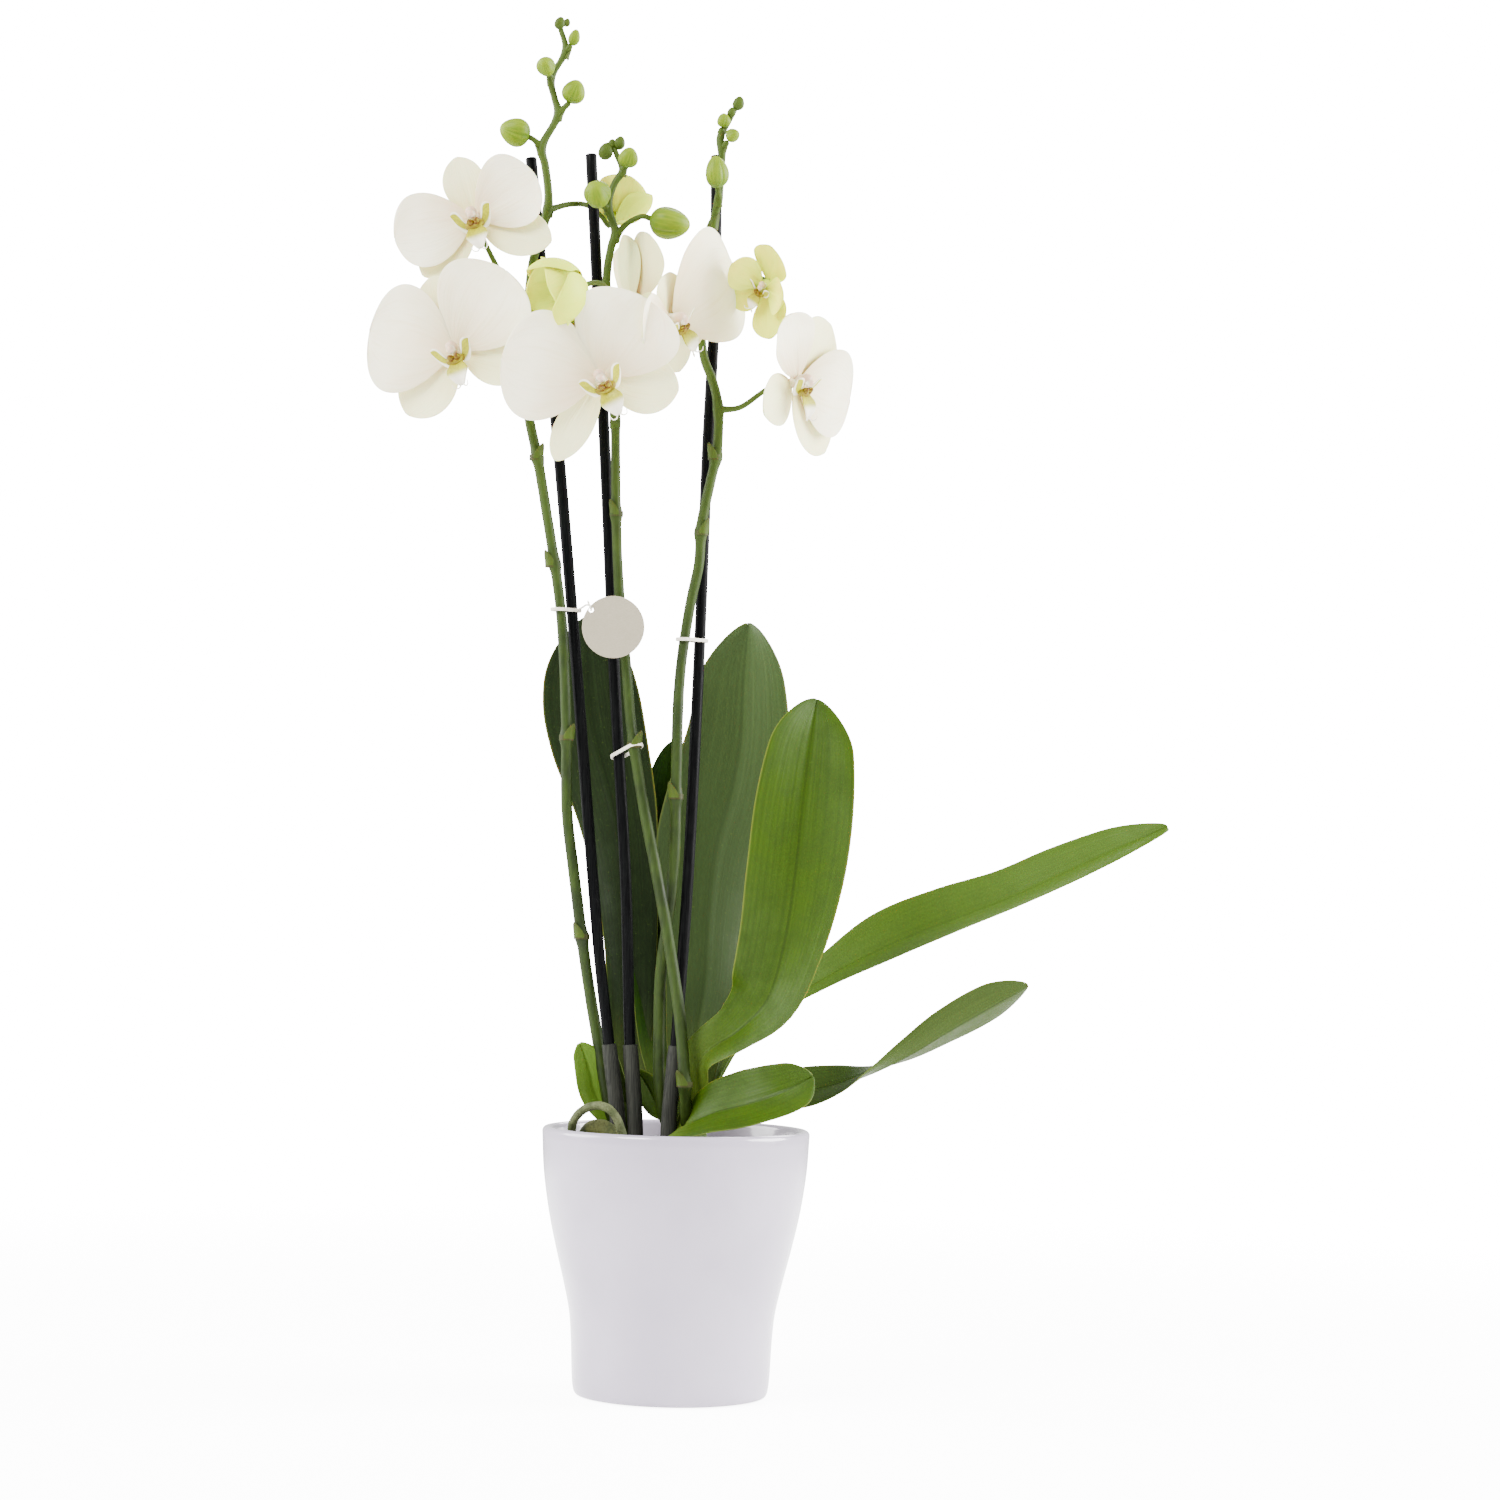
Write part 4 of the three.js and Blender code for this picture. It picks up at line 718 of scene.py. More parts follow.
def stem_finish(name, shade, pale, dark):
    """Stalk skin: lengthwise streaks, small dots, dark joints, and a lighter, yellower green higher up
    that is painted light, for the stronger light up among the flowers.
    """
    made = Finish(name, Subsurface_Weight=0.05, Subsurface_Scale=0.003, Specular_IOR_Level=0.14)
    streaks = made.noise(2.2, 4, stretch=(1, 1, 0.12))
    height = made.node("SeparateXYZ", {0: made.place()}).outputs["Z"]
    base = made.over(
        shade, (pale, streaks, 0.32, 0.68), (dark, made.noise(16), 0.45, 0.7, 0, 0.6),
        # painted light: a lighter, yellower green higher up the stems
        (rgb(66, 84, 24), height, 0.36, 0.56, 0, 0.6),
        (rgb(58, 74, 14), made.kept("tint")), (rgb(52, 46, 18), made.kept("stain")),
        (rgb(52, 66, 18), made.noise(0.9, 2), 0.64, 0.76, 0, 0.4))
    return made.done(base, streaks, 0.45, 0.6, streaks, 0.22, 0.6)


def petal_finish(name, face, tint_and_painted_shade, vein, back):
    """Petal: soft crystalline white or green, faint veins fanning from the base, and a warm, darker foot
    toward the hub that is painted shade.
    """
    made = Finish(name, Subsurface_Weight=0.2, Subsurface_Scale=0.004, Specular_IOR_Level=0.15)
    upper, cells = made.kept("upper"), made.noise(0.7, 2)
    veins = made.streaks(11, 1.6, rough=0.6, layer=upper)
    base = made.over(
        face, (vein, veins, 0.5, 0.66, 0, 0.5), (vein, made.noise(13), 0.4, 0.75, 0, 0.4),
        # painted shade: a warm, darker foot toward the hub
        (back, upper, -0.6, 0.2, 0.55, 0), (tint_and_painted_shade, made.kept("along"), 0, 0.6, 0.75, 0),
        (back, made.kept("stain")), (tint_and_painted_shade, made.kept("tint")))
    relief = made.math("MULTIPLY_ADD", cells, 0.15, veins)
    return made.done(base, cells, 0.42, 0.6, relief, 0.5, 0.6)


def column_finish():
    made = Finish("flower_column", Subsurface_Weight=0.2, Subsurface_Scale=0.003)
    wax = made.noise(1.8)
    base = made.over(
        rgb(238, 228, 206), (rgb(226, 214, 190), wax, 0.35, 0.7),
        (rgb(200, 168, 138), made.kept("along"), 0.5, 0.9, 0, 0.9))
    return made.done(base, wax, 0.3, 0.45, wax, 0.15, 0.4)


def lip_finish():
    """Lip: white lobes, yellow where tint is kept, red-brown bars and spots where stain is."""
    made = Finish(
        "lip_yellow", Subsurface_Weight=0.06, Subsurface_Scale=0.001, Specular_IOR_Level=0.2)
    grain = made.noise(1.1)
    yellow = made.over(rgb(172, 170, 0), (rgb(150, 150, 0), grain, 0.35, 0.65))
    bars = made.range(made.streaks(5, 2), 0.3, 0.5)
    base = made.over(
        rgb(240, 234, 212), (yellow, made.kept("tint"), 0.2, 0.62),
        (rgb(88, 50, 10), made.math("MULTIPLY", made.kept("stain"), bars)))
    return made.done(base, grain, 0.35, 0.5, grain, 0.2, 0.5)


def bud_finish():
    """Bud: yellow-green sepals, darker seams and foot, a paler tip."""
    made = Finish(
        "bud_green", Subsurface_Weight=0.05, Subsurface_Scale=0.002, Specular_IOR_Level=0.15)
    along, streaks = made.kept("along"), made.streaks(6, 1.4)
    base = made.over(
        rgb(84, 108, 3), (rgb(106, 124, 8), streaks, 0.35, 0.66),
        (rgb(72, 98, 6), made.kept("across"), 0, 0.1, 0.75, 0),
        (rgb(66, 92, 8), along, 0, 0.35, 0.75, 0), (rgb(126, 144, 16), along, 0.75, 1, 0, 0.4),
        (rgb(92, 116, 12), made.noise(1.5), 0.6, 0.75, 0, 0.5))
    return made.done(base, streaks, 0.4, 0.55, streaks, 0.25, 0.6)


def root_finish(name, silver, green):
    made = Finish(name, Specular_IOR_Level=0.3)
    pores = made.noise(0.8, 4)
    base = made.over(
        silver, (green, made.noise(7, 4), 0.42, 0.62), (rgb(42, 36, 22), pores, 0.52, 0.7, 0, 0.6))
    return made.done(base, pores, 0.7, 0.9, pores, 0.4, 0.7)


# colours of the finishes that share a function: a leaf's upper face, under face and veins, a
# stem's skin with its pale and dark places, a petal's face, its tint that is also painted shade
# toward the hub, its veins and back, a root's silver and green, and a plastic's shade with its worn
# places
SHARED_FINISHES = [
    (leaf_finish, "leaf_dark", rgb(16, 27, 5), rgb(24, 42, 8), rgb(21, 34, 8), 0.5, 0.65),
    # the last number in the leaf_grey_green row is painted shade over its lower half
    (leaf_finish, "leaf_grey_green", rgb(49, 67, 30), rgb(49, 65, 30), rgb(56, 74, 35), 0.5, 0.65,
     0.55),
    (leaf_finish, "leaf_bright", rgb(40, 60, 6), rgb(64, 82, 18), rgb(46, 67, 8)),
    (leaf_finish, "leaf_deep", rgb(20, 42, 0), rgb(32, 56, 4), rgb(28, 52, 2)),
    (leaf_finish, "leaf_pale", rgb(38, 55, 14), rgb(48, 64, 18), rgb(45, 62, 18)),
    (stem_finish, "stem_green", rgb(28, 41, 7), rgb(38, 53, 10), rgb(18, 27, 5)),
    (stem_finish, "crown_green", rgb(56, 76, 26), rgb(74, 94, 38), rgb(44, 62, 22)),
    (petal_finish, "petal_white", rgb(253, 242, 214), rgb(206, 184, 138), rgb(240, 228, 190),
     rgb(222, 228, 142)),
    (petal_finish, "petal_green", rgb(238, 242, 96), rgb(168, 190, 24), rgb(214, 226, 66),
     rgb(184, 204, 36)),
    (root_finish, "root_silver", rgb(72, 78, 46), rgb(48, 56, 24)),
    (root_finish, "root_green", rgb(72, 76, 34), rgb(44, 52, 18)),
    (plastic, "black_plastic", rgb(4, 4, 5), rgb(10, 11, 11), 0.34, 0.5, 0.04),
    (plastic, "grey_plastic", rgb(32, 33, 30), rgb(46, 47, 42), 0.4, 0.55, 0.06),
    (plastic, "cream_plastic", rgb(206, 200, 182), rgb(222, 217, 202), 0.5, 0.65, 0.2, (1, 1, 1)),
]
FINISHES = {name: build(name, *look) for build, name, *look in SHARED_FINISHES}
COLUMN_FINISH = column_finish()
FINISHES.update(
    white_glaze=glaze(), clear_plastic=clear_plastic(), bark=bark(), tag_card=card(),
    lip_yellow=lip_finish(), bud_green=bud_finish())

# ---------------------------------------------------------------- pot, nursery pot, medium


def arc(centre, radius, start, end, steps=10):
    """Points of an arc, its angles in degrees from the outward direction."""
    angles = np.radians(np.linspace(start, end, steps + 1))
    return [(centre[0] + radius * math.cos(a), centre[1] + radius * math.sin(a)) for a in angles]


def smooth_profile(points, steps=6):
    """A profile made smooth through its points."""
    keys = [(radius, 0, height) for radius, height in points]
    made = spline(keys, np.linspace(0, 1, steps * (len(points) - 1) + 1))
    return [(radius, height) for radius, _, height in made]


def cover_pot():
    lip_radius = POT_WALL / 2
    lip_centre = (POT_RIM_RADIUS - lip_radius, POT_HEIGHT - lip_radius)
    outside = smooth_profile([*POT_OUTSIDE, (POT_RIM_RADIUS, lip_centre[1])])
    inside = [(radius - POT_WALL, height) for radius, height in POT_OUTSIDE[3:8:2]]
    inner_lip = (lip_centre[0] - lip_radius, lip_centre[1])
    inner = smooth_profile([inner_lip, *inside[::-1], POT_INSIDE_FOOT[0]])
    over_lip = arc(lip_centre, lip_radius, 0, 180)
    profile = [(0, 0), *outside, *over_lip[1:], *inner[1:], *POT_INSIDE_FOOT[1:]]
    piece("cover_pot", "white_glaze", [lathe(profile, 128)], ["ceramic_pot"], sharp=50)


def nursery_pot():
    foot, corner, round_edge = POT_FLOOR + FIT, NURSERY_CORNER, 0.8
    edge = NURSERY_TOP_RADIUS + NURSERY_LIP - round_edge
    profile = [
        (0, foot), (NURSERY_FOOT_RADIUS - 3, foot), (NURSERY_FOOT_RADIUS, foot + corner),
        (NURSERY_TOP_RADIUS, NURSERY_TOP - 3), *arc((edge, NURSERY_TOP - 2.2), round_edge, -90, 0, 4),
        *arc((edge, NURSERY_TOP - round_edge), round_edge, 0, 90, 4),
        (NURSERY_TOP_RADIUS - NURSERY_WALL, NURSERY_TOP),
        (NURSERY_FOOT_RADIUS - NURSERY_WALL, foot + corner),
        (NURSERY_FOOT_RADIUS - 4, foot + NURSERY_WALL), (0, foot + NURSERY_WALL)]
    piece("liner_pot", "clear_plastic", [lathe(profile, 96)], ["nursery_pot"], sharp=40)


def nursery_inside(height):
    """Radius of the nursery pot's inside at a height."""
    foot = POT_FLOOR + FIT + NURSERY_CORNER
    share = (height - foot) / (NURSERY_TOP - foot)
    outside = NURSERY_FOOT_RADIUS + share * (NURSERY_TOP_RADIUS - NURSERY_FOOT_RADIUS)
    return outside - NURSERY_WALL - FIT


def bark_chip(draw):
    """One flat, broken piece of bark: a box of 26 points pulled out of true."""
    size = [draw.uniform(*span) for span in CHIP_SIZES]
    corners = [corner for corner in product((-1, 0, 1), repeat=3) if any(corner)]
    faces = []
    for axis, sign, a, b in product(range(3), (-1, 1), (-1, 0), (-1, 0)):
        ring = [(a, b), (a + 1, b), (a + 1, b + 1), (a, b + 1)]
        faces.append([corners.index(tuple(np.insert(pair, axis, sign))) for pair in ring])
    points = np.array(corners, float)
    points *= 1 - 0.16 * (np.count_nonzero(points, axis=1)[:, None] - 1)
    points += np.array([[draw.uniform(-0.16, 0.16) for _ in range(3)] for _ in corners])
    bend = draw.uniform(-0.25, 0.25)
    points[:, 2] += bend * points[:, 0] ** 2
    points *= np.array(size) / 2
    turn = Matrix.Rotation(draw.uniform(0, 2 * math.pi), 3, "Z")
    turn @= Matrix.Rotation(draw.gauss(0, 0.3), 3, "X") @ Matrix.Rotation(draw.gauss(0, 0.3), 3, "Y")
    return points @ np.array(turn).T, faces


def medium():
    """The medium's solid with a bumpy top, and loose chips over it that leave room for the
    stakes and crowns."""
    draw = random.Random(CHIP_SEED)
    foot = POT_FLOOR + NURSERY_WALL + 2 * FIT
    corner = foot + NURSERY_CORNER
    top = MEDIUM_SOLID_TOP
    edge = nursery_inside(top)
    profile = [(0, foot), (NURSERY_FOOT_RADIUS - 5, foot), (nursery_inside(corner) - FIT, corner)]
    profile += [(edge * share, top) for share in np.linspace(1, 0, 14)]
    points, faces, values = lathe(profile, 72)
    bumpy = (points[:, 2] > top - 0.1) & (np.hypot(points[:, 0], points[:, 1]) < edge - 0.5)
    lift = np.array([noise.noise(Vector((x, y, 3.7)) / 7) for x, y, _ in points])
    points[:, 2] += np.where(bumpy, MEDIUM_BUMPS * lift, 0)
    shapes = [(points, faces, values)]
    posts = [np.array(route[1][:2]) for route in STAKE_ROUTES.values()]
    posts += [np.array(centre) for centre, _ in CROWNS.values()]
    while len(shapes) <= CHIP_COUNT:
        chip, chip_faces = bark_chip(draw)
        distance = (nursery_inside(MEDIUM_TOP) - CHIP_MARGIN) * math.sqrt(draw.random())
        bearing = draw.uniform(0, 2 * math.pi)
        centre = np.array([distance * math.cos(bearing), distance * math.sin(bearing)])
        if min(np.linalg.norm(centre - post) for post in posts) < POST_ROOM:
            continue
        chip += np.array([*centre, MEDIUM_TOP + draw.uniform(*CHIP_HEIGHTS)])
        shapes.append((chip, chip_faces, {}))
    piece("bark_chips", "bark", shapes, ["bark_medium"], sharp=28)


# ---------------------------------------------------------------- stakes and sleeves


def cut_route(route, low, high):
    """The part of a route between two heights."""
    heights = [point[2] for point in route]
    lowest, highest = (
        [np.interp(end, heights, column) for column in zip(*route)] for end in (low, high))
    return [lowest, *[point for point in route if low + 5 < point[2] < high - 5], highest]


def stakes():
    for side, route in STAKE_ROUTES.items():
        length = cut_route(route, STAKE_BOTTOM, route[-1][2])
        rod = tube(length, [STAKE_RADIUS], around=20, step=6, dome=0.35)
        piece(f"rod_{side}", "black_plastic", [rod], [f"stake_{side}"], sharp=70)
        foot = sleeve(cut_route(route, SLEEVE_BOTTOM, SLEEVE_TOP))
        piece(f"sleeve_{side}", "grey_plastic", [foot], [f"stake_foot_{side}"], sharp=40)


def sleeve(route):
    """Sleeve with a round lip and a bore that the stake stands in."""
    bore = STAKE_RADIUS + FIT
    deep = (SLEEVE_TOP - STAKE_BOTTOM) / (SLEEVE_TOP - SLEEVE_BOTTOM)
    outer = np.linspace(0, 1, 20)[:-1]
    taper = along_keys([SLEEVE_RADIUS - 1.6, SLEEVE_RADIUS, SLEEVE_RADIUS], outer)
    lip = [0.92 * SLEEVE_RADIUS, (bore + SLEEVE_RADIUS) / 2]
    wall = np.array([0, *taper, *lip, bore, bore, 0])
    t = paced(route, [0, *outer, 0.996, 1, 1, 1 - deep, 1 - deep])
    forward = heading(route, t, 0.004)
    side = unit(np.array([1.0, 0, 0]) - forward * forward[:, :1])
    ring = spokes(side, np.cross(side, forward), 24)
    return skin(spline(route, t)[:, None, :3] + ring * wall[:, None, None])


# ---------------------------------------------------------------- crowns, leaves, roots


def crowns():
    """Trunks with the folds of old leaf bases round them."""
    for side, ((x, y), radius) in CROWNS.items():
        trunk = ball((0, 0, 0), (radius, CROWN_REACH), (0, 0, 1), 40, 40, narrow=0)
        points, _, values = trunk
        bearing = np.arctan2(points[:, 1], points[:, 0])
        folds = (3 * points[:, 2] / CROWN_REACH + 0.35 * np.cos(bearing)) % 1
        points[:, :2] *= (1 + 0.1 * (folds - 0.5))[:, None]
        points += np.array([x, y, CROWN_HEIGHT])
        values["tint"] = 0.35 * folds
        piece(f"crown_trunk_{side}", "crown_green", [trunk], [f"crown_{side}"])


def leaf(name):
    slot, fold, wave, route = LEAVES[name]

    def place(s, v):
        t = 1 - (1 - np.clip(s, 0, 1)) ** 1.6
        key = paced(route, t)
        values = spline(route, key)
        tangent = heading(route, key, 0.001)
        upper = values[..., 4:7]
        upper = unit(upper - tangent * np.sum(upper * tangent, axis=-1, keepdims=True))
        across = np.cross(tangent, upper)
        past = np.maximum(0, (t - LEAF_TIP_START) / (1 - LEAF_TIP_START))
        half = values[..., 3] * np.sqrt(np.clip(1 - past**2, 0, 1))
        rise = fold * half * np.abs(v) ** 1.3 + wave * v * v * np.sin(9 * t + 2 * v)
        return values[..., :3] + across * (half * v)[..., None] + upper * rise[..., None]

    def front(s, v):
        channel = bell(v, 0.05)
        return LEAF_THICKNESS / 2 * (1 - 0.75 * channel)

    def back(s, v):
        keel = bell(v, 0.07) * (1 - s)
        return LEAF_THICKNESS / 2 * (1 + 1.1 * keel)

    rows = 72 if len(route) > 4 else 30
    blade = sheet(place, rows, 26, front, back, tint=even(LEAF_TINTS_AND_PAINTED_LIGHT.get(name, 0)))
    piece(f"{name}_blade", slot, [blade], [name], sharp=80)


def roots():
    for name, (slot, radius, route) in ROOTS.items():
        rod = tube(route, [radius], around=20, step=1.2, rough=0.16, grain=5)
        piece(f"{name}_skin", slot, [rod], [name])


# ---------------------------------------------------------------- flower stems and buds


def bract(place, radius, reach, bearing, lean=0.18):
    """Small pointed scale that clasps the stem at a node, its back looking to a bearing."""
    x, y, z = place

    def surface(s, v):
        wrap = 1.5 * (1 - s) ** 0.8 * v + bearing
        out = radius + 0.35 + lean * reach * s**2
        return np.stack([x + out * np.cos(wrap), y + out * np.sin(wrap), z - 1 + reach * s], axis=-1)

    return sheet(surface, 14, 10, even(0.25), even(0.25),
                 tint=lambda s, v: 0.75 - 0.4 * s, stain=lambda s, v: 0.5 * s**3)


def stalk_route(carried, points):
    """A flower's stalk ends inside the back of its hub."""
    spec = FLOWERS.get(carried.removeprefix("flower_"))
    if spec is None:
        return points
    return np.vstack([points, np.array(spec.centre) - 1.5 * unit(spec.facing)])


def stem(name):
    spec = STEMS[name]
    route, radii = spec["route"], spec["radii"]
    foot, top = route[0][2], route[-1][2]
    nodes = np.array(spec["nodes"], float)
    stalks = {carried: np.array(points, float) for carried, points in spec["stalks"].items()}

    def radius_at(place):
        return along_keys(radii, (place[2] - foot) / (top - foot))

    swells = [(place, *NODE_SWELL) for place in nodes]
    swells += [(points[0], *STALK_SWELL) for points in stalks.values()]
    shapes = [tube(route, radii, around=16, step=2, swells=swells, rough=0.04, grain=9)]
    joint = np.outer((-1.4, 0, 1.4), (0, 0, 1))
    for i, place in enumerate(nodes):
        radius = radius_at(place)
        bearing = -math.pi / 2 + (0.8 if i % 2 else -0.8)
        shapes.append(bract(place, radius + 0.6, BRACT_REACH, bearing))
        shapes.append(tube(place + joint, [radius + 1.15], 16, 0.5, stain=0.55))
    for carried, points in stalks.items():
        start, (across, deep, _) = points[0], points[1] - points[0]
        way = stalk_route(carried, points)
        shapes.append(tube(way, STALK_RADII, 12, 1.5, swells=[(start, *STALK_FOOT_SWELL)], tint=0.55))
        side = math.atan2(deep, across)
        shapes.append(bract(start - (0, 0, 3), radius_at(start), STALK_BRACT_REACH, side, 0.3))
    for *place, radius in spec["tips"]:
        tip = ball(place, (radius, radius * 1.25), (0.3, 0, 1), 18, 12, 0.06, 0.05, tint=0.6)
        shapes.append(tip)
    piece(f"{name}_stalks", "stem_green", shapes, [name])


def buds():
    for name, (centre, size, toward) in BUDS.items():
        egg = ball(centre, size, toward, 60, 40, ribs=0.07, seam=0.06)
        piece(f"{name}_sepals", "bud_green", [egg], [name])


# ---------------------------------------------------------------- flowers


def flower_turning(facing, roll):
    """Turning of a flower: local +Z is its facing and +Y its dorsal sepal."""
    front = unit(facing)
    up = unit(np.array([0, 0, 1.0]) - front * front[2])
    up = np.array(Matrix.Rotation(math.radians(roll), 3, Vector(front)) @ Vector(up))
    return np.stack([np.cross(up, front), up, front], axis=1)


def petal(turning, centre, outline, layer, close, reflex, fullness, point, wave, phase):
    """A petal or sepal: an oval, narrow at the hub, that bends forward as the flower closes."""
    angle, length, half = outline
    a = math.radians(angle)
    turn = turning @ np.array([[math.cos(a), -math.sin(a), 0], [math.sin(a), math.cos(a), 0], [0, 0, 1]])
    start = -1.42
    lowest = math.sin(start)
    bend = (2.4 * close - reflex) / length + 0.0001

    def surface(s, v):
        bearing = start + (math.pi / 2 - start) * np.clip(s, 0, 1)
        reach = (np.clip(np.sin(bearing) - lowest, 0, None) / (1 - lowest)) ** fullness
        distance = 2.2 + length * reach
        side = np.maximum(0, np.cos(bearing)) ** point * half * v
        lean = bend * distance
        bow = (1 - close) * (0.08 * distance - 0.0022 * distance * distance)
        cup = (0.004 + 0.45 * max(bend, 0)) * side * side
        ripple = wave * v * v * reach * np.sin(6 * reach + 3 * v)
        ripple = ripple + 0.3 * wave * v**4 * reach * np.sin(17 * reach + 6 * v + phase)
        crease = -0.5 * bell(v, 0.09) * (1 - reach)
        raised = layer + bow + cup + ripple + crease
        up = np.sin(lean) / bend - raised * np.sin(lean)
        out = (1 - np.cos(lean)) / bend + raised * np.cos(lean)
        return np.stack([side, up, out], axis=-1) @ turn.T + centre

    skin_depth = even(PETAL_THICKNESS / 2)
    return sheet(surface, 44, 28, skin_depth, skin_depth, stain=even(0.45 if layer < 0 else 0))


def flower_column(turning, centre, size):
    """The column over the lip, with the rounded cap at its end."""
    points = np.array([(0, 0, -3), (0, 1, 3), (0, 1.8, 6.5 * size), (0, 1, 8.5 * size)])
    radii = [2.6 * size, 2.3 * size, 2.5 * size, 2.2 * size]
    rod = tube(points @ turning.T + centre, radii, around=20, step=0.6)
    cap = np.array([0, 0.2 * size, 7.6 * size]) @ turning.T + centre
    return [rod, ball(cap, (1.9 * size, 2.0 * size), turning[:, 2], 20, 14, 0.05, 0.06)]


def flower(key):
    spec = FLOWERS[key]
    turning, centre = flower_turning(spec.facing, spec.roll), np.array(spec.centre, float)
    large = max(length for _, length, _ in spec.petals) > LARGE_PETAL
    layer = 1.3 + 1.2 * spec.close
    petals_bend, sepals_bend = spec.reflex
    draw = random.Random(key)
    shapes = []
    for outlines, *form in (
            (spec.petals, layer, spec.close, petals_bend, 0.7, 1, 1 if large else 0.5),
            (spec.sepals, -layer, spec.close, sepals_bend, 0.85, 1.2, 0.4)):
        for outline in outlines:
            shapes.append(petal(turning, centre, outline, *form, draw.uniform(0, 6)))
    shapes.append(ball(centre, (HUB_RADIUS, HUB_RADIUS * 0.8), unit(spec.facing), tint=0.6))
    piece(f"flower_{key}_petals", spec.slot, shapes, [f"flower_{key}"], sharp=80)
    column = flower_column(turning, centre, 1.2 if large else 0.7)
    piece(f"flower_{key}_column", spec.slot, column, finish=COLUMN_FINISH)
    if spec.lip:
        lobes = lip(turning, centre, spec.lip)
        piece(f"lip_{key}_lobes", "lip_yellow", lobes, [f"lip_{key}"], sharp=80)


def lip(turning, centre, size):
    """The lip: a narrow middle lobe with two tendrils, two raised side lobes, the callus, and a
    short claw to the column."""

    def put(x, y, z):
        return np.stack(np.broadcast_arrays(x, y, z), axis=-1) * size @ turning.T + centre

    def middle(s, v):
        half = 3.9 * np.sin(math.pi * (0.3 + 0.66 * s)) ** 0.8
        waist, flare = bell(s - 0.1, 0.14), bell(s - 0.5, 0.13)
        half = half * (1 - 0.25 * waist + 0.1 * flare)
        return put(half * v, -4.2 - 9.5 * s, 4.2 + 9 * s - 6.5 * s * s + 0.9 * v * v)

    def wing(side):
        def surface(s, v):
            half = 4.2 * np.cos(-1 + (math.pi / 2 + 1) * np.clip(s, 0, 1))
            reach = 2.4 + 4.4 * s + 0.8 * s * s
            out = reach + 0.25 * half * v * v + 0.1 * half * np.sin(4 * s + 3 * v)
            return put(side * out, -3.4 + 5 * s + 0.75 * half * v, 4.4 + 2.6 * s + 0.65 * half * v)
        return surface

    def rod(places, *form, **values):
        lobes.append(tube([put(*place) for place in places], *form, **values))

    lobes = [sheet(middle, 26, 16, even(0.5 * size), even(0.5 * size),
                   tint=lambda s, v: 1.1 - 1.25 * s, stain=lambda s, v: 0.7 * (1 - s) ** 4)]
    for side in (-1, 1):
        lobes.append(sheet(
            wing(side), 24, 16, even(0.4), even(0.4),
            tint=lambda s, v: (0.8 + s) * bell(v + 0.1 - 0.3 * s, 0.62),
            stain=lambda s, v: 1.1 * bell(s, 0.16) * bell(v + 0.1, 0.6)))
        tendril = [(0.3, -13.2, 6.9), (1.3, -14.4, 7.6), (2.6, -14.3, 9), (3.1, -12.8, 9.8)]
        rod([(side * x, y, z) for x, y, z in tendril], [0.42, 0.3, 0.18], 8, 0.5, tint=0.2)
        knob, outward = put(side * 1.15, -3.0, 6.3), turning @ (side * 0.3, 0.6, 1)
        lobes.append(ball(knob, (1.3 * size, 1.8 * size), outward, 16, 12, tint=1.0, stain=1.0))
    ridge = [1.4 * size, 1.7 * size, 1.4 * size]
    rod([(-3.6, -3.1, 4.6), (0, -4.3, 5), (3.6, -3.1, 4.6)], ridge, 14, 0.6, tint=0.9, stain=0.7)
    rod([(0, -1, 1), (0, -4.3, 5)], [1.3], 12, 0.6, tint=0.5)
    return lobes


# ---------------------------------------------------------------- ties and tag


def tie(name):
    """A band, a rounded bar in section, that runs round two centres."""
    ends, radius, height, tilt = TIES[name]
    (x1, y1), (x2, y2) = ends
    half_run = math.hypot(x2 - x1, y2 - y1) / 2
    around, squareness = 16, 0.45
    outline = np.stack([np.cos(bearings(around)), np.sin(bearings(around))], axis=1)
    outline = np.sign(outline) * np.abs(outline) ** squareness
    out, up = (outline * (TIE_WALL / 2, TIE_HEIGHT / 2)).T
    turn = np.linspace(0, math.pi, 25)
    outward = np.stack([np.sin(turn), -np.cos(turn)], axis=1)
    place = outward * (radius + TIE_WALL / 2) + (half_run, 0)
    outward = np.concatenate([outward, -outward])[:, None]
    place = np.concatenate([place, -place])[:, None] + outward * out[:, None]
    rings = np.concatenate([place, np.broadcast_to(up[:, None], (len(place), around, 1))], axis=-1)
    turning = Matrix.Rotation(math.atan2(y2 - y1, x2 - x1), 3, "Z") @ Matrix.Rotation(tilt, 3, "Y")
    rings = rings @ np.array(turning).T + ((x1 + x2) / 2, (y1 + y2) / 2, height)
    piece(f"{name}_band", "cream_plastic", [skin(rings, closed=True)], [name])


def tag():
    """Round card with a round hole near its edge, and edges that are a little worn."""
    thick, soft = TAG_THICKNESS / 2, 0.25
    start, flat = TAG_HOLE_RADIUS + soft, TAG_RADIUS - TAG_HOLE_RADIUS - 2 * soft
    # each ring's radius, how near the hole its middle is, and how far it lies before the card's
    # middle: outwards over the front, and inwards again over the back
    loop = [(TAG_HOLE_RADIUS, 1, thick - soft), (start, 1, thick)]
    loop += [(start + flat * share, 1 - share, thick) for share in np.linspace(0.04, 0.97, 14)]
    loop += [(TAG_RADIUS - soft, 0, thick), (TAG_RADIUS, 0, thick - soft)]
    loop += [(radius, near, -depth) for radius, near, depth in loop[::-1]]
    radius, near, depth = (np.array(column)[:, None] for column in zip(*loop))
    x = TAG_CENTRE[0] + (TAG_HOLE[0] - TAG_CENTRE[0]) * near + radius * np.cos(bearings(96))
    z = TAG_CENTRE[2] + (TAG_HOLE[2] - TAG_CENTRE[2]) * near + radius * np.sin(bearings(96))
    rings = np.stack([x, TAG_CENTRE[1] - depth + 0 * x, z], axis=-1)
    piece("round_tag", "tag_card", [skin(rings, closed=True)], ["tag"], sharp=35)


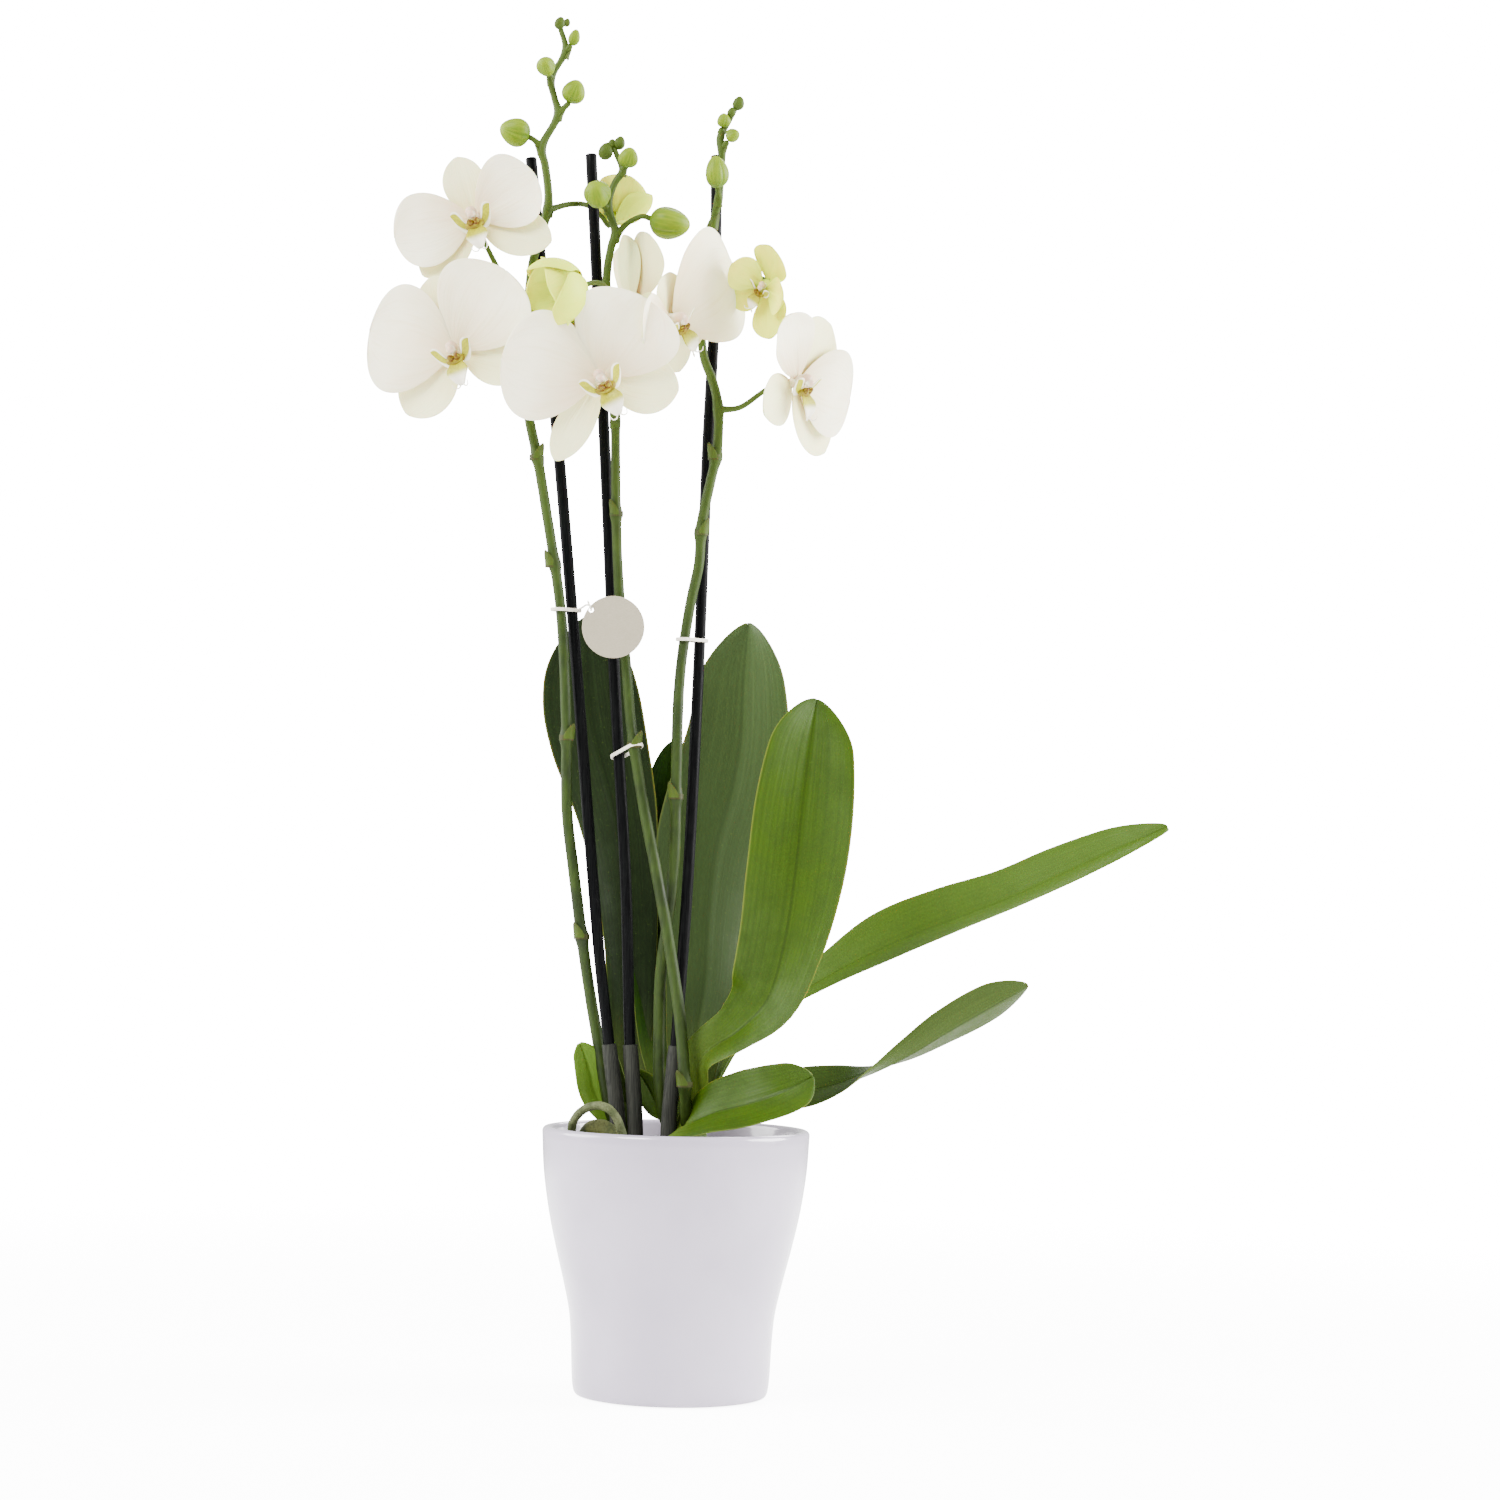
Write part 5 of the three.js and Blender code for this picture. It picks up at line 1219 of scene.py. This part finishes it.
def tag_string():
    """Two thin strands twisted round each other along the string's route."""
    distances, fine = measured(TAG_STRING)
    centres = spline(TAG_STRING, np.interp(np.linspace(0, distances[-1], 60), distances, fine))
    forward = unit(np.gradient(centres, axis=0))
    side = unit(np.cross(forward, (0.3, 0.2, 1.0)))
    over = np.cross(forward, side)
    twist = np.linspace(0, distances[-1] / STRING_PITCH * 2 * math.pi, 60)[:, None]
    shapes = []
    for start in (0, math.pi):
        offset = (side * np.cos(twist + start) + over * np.sin(twist + start)) * STRING_RADIUS * 0.42
        shapes.append(tube(centres + offset, [STRING_RADIUS * 0.52], around=8, step=0.3))
    piece("tag_cord", "cream_plastic", shapes, ["tag_string"])


# ---------------------------------------------------------------- floor, light, camera


def stage():
    """Pale floor that fades out well clear of the pot, so that no horizon shows."""
    mesh = bpy.data.meshes.new("floor")
    edge = [(FLOOR_REACH * math.cos(a), FLOOR_REACH * math.sin(a), FLOOR_HEIGHT) for a in bearings(96)]
    mesh.from_pydata(edge, [], [tuple(range(len(edge)))])
    floor = placed("floor", mesh)
    made = Finish("pale_floor", Roughness=0.8, Specular_IOR_Level=0.15, Emission_Color=(1, 1, 1, 1))
    base = made.over(rgb(243, 243, 244), (rgb(248, 248, 248), made.noise(400, 2), 0.3, 0.7))
    made.link("Base Color", base)
    distance = made.node("VectorMath", {0: made.place()}, operation="LENGTH").outputs["Value"]
    made.link("Alpha", made.range(distance, FLOOR_REACH * 0.25, FLOOR_REACH * 0.97, 1, 0))
    seen = made.node("LightPath", {}).outputs["Is Camera Ray"]
    made.link("Emission Strength", made.range(seen, 0, 1, FLOOR_GLOW, FLOOR_GLOW_SEEN, "LINEAR"))
    mesh.materials.append(made.material)


def lights():
    """White studio: a bright backdrop for the camera, softer light from it on the plant, and
    round lamps that look at the middle of the plant."""
    world = bpy.data.worlds.new("studio")
    bpy.context.scene.world = world
    world.use_nodes = True
    tree = world.node_tree
    background = tree.nodes["Background"]
    background.inputs["Color"].default_value = (1.0, 1.0, 1.0, 1)
    seen = tree.nodes.new("ShaderNodeLightPath")
    strength = tree.nodes.new("ShaderNodeMapRange")
    strength.inputs["To Min"].default_value = STUDIO_LIGHT
    strength.inputs["To Max"].default_value = BACKDROP_LIGHT
    tree.links.new(seen.outputs["Is Camera Ray"], strength.inputs["Value"])
    tree.links.new(strength.outputs["Result"], background.inputs["Strength"])
    for name, (place, size, power) in LAMPS.items():
        lamp = bpy.data.lights.new(name, "AREA")
        lamp.shape = "DISK"
        lamp.size = size
        lamp.energy = power
        made = placed(name, lamp)
        made.location = place
        look = Vector(PLANT_MIDDLE) - Vector(place)
        made.rotation_euler = look.to_track_quat("-Z", "Y").to_euler()


def camera():
    lens = bpy.data.cameras.new("camera")
    lens.lens = CAMERA_LENS
    lens.sensor_width = 36
    lens.clip_start, lens.clip_end = 0.1, 100
    made = placed("camera", lens)
    turning = Matrix.Rotation(math.pi / 2 + CAMERA_PITCH, 4, "X") @ Matrix.Rotation(CAMERA_ROLL, 4, "Z")
    made.matrix_world = Matrix.Translation(CAMERA_PLACE) @ turning
    bpy.context.scene.camera = made


# ---------------------------------------------------------------- the whole plant

camera()
lights()
stage()
cover_pot()
nursery_pot()
medium()
stakes()
crowns()
for leaf_name in LEAVES:
    leaf(leaf_name)
roots()
for stem_name in STEMS:
    stem(stem_name)
buds()
for flower_key in FLOWERS:
    flower(flower_key)
for tie_name in TIES:
    tie(tie_name)
tag()
tag_string()
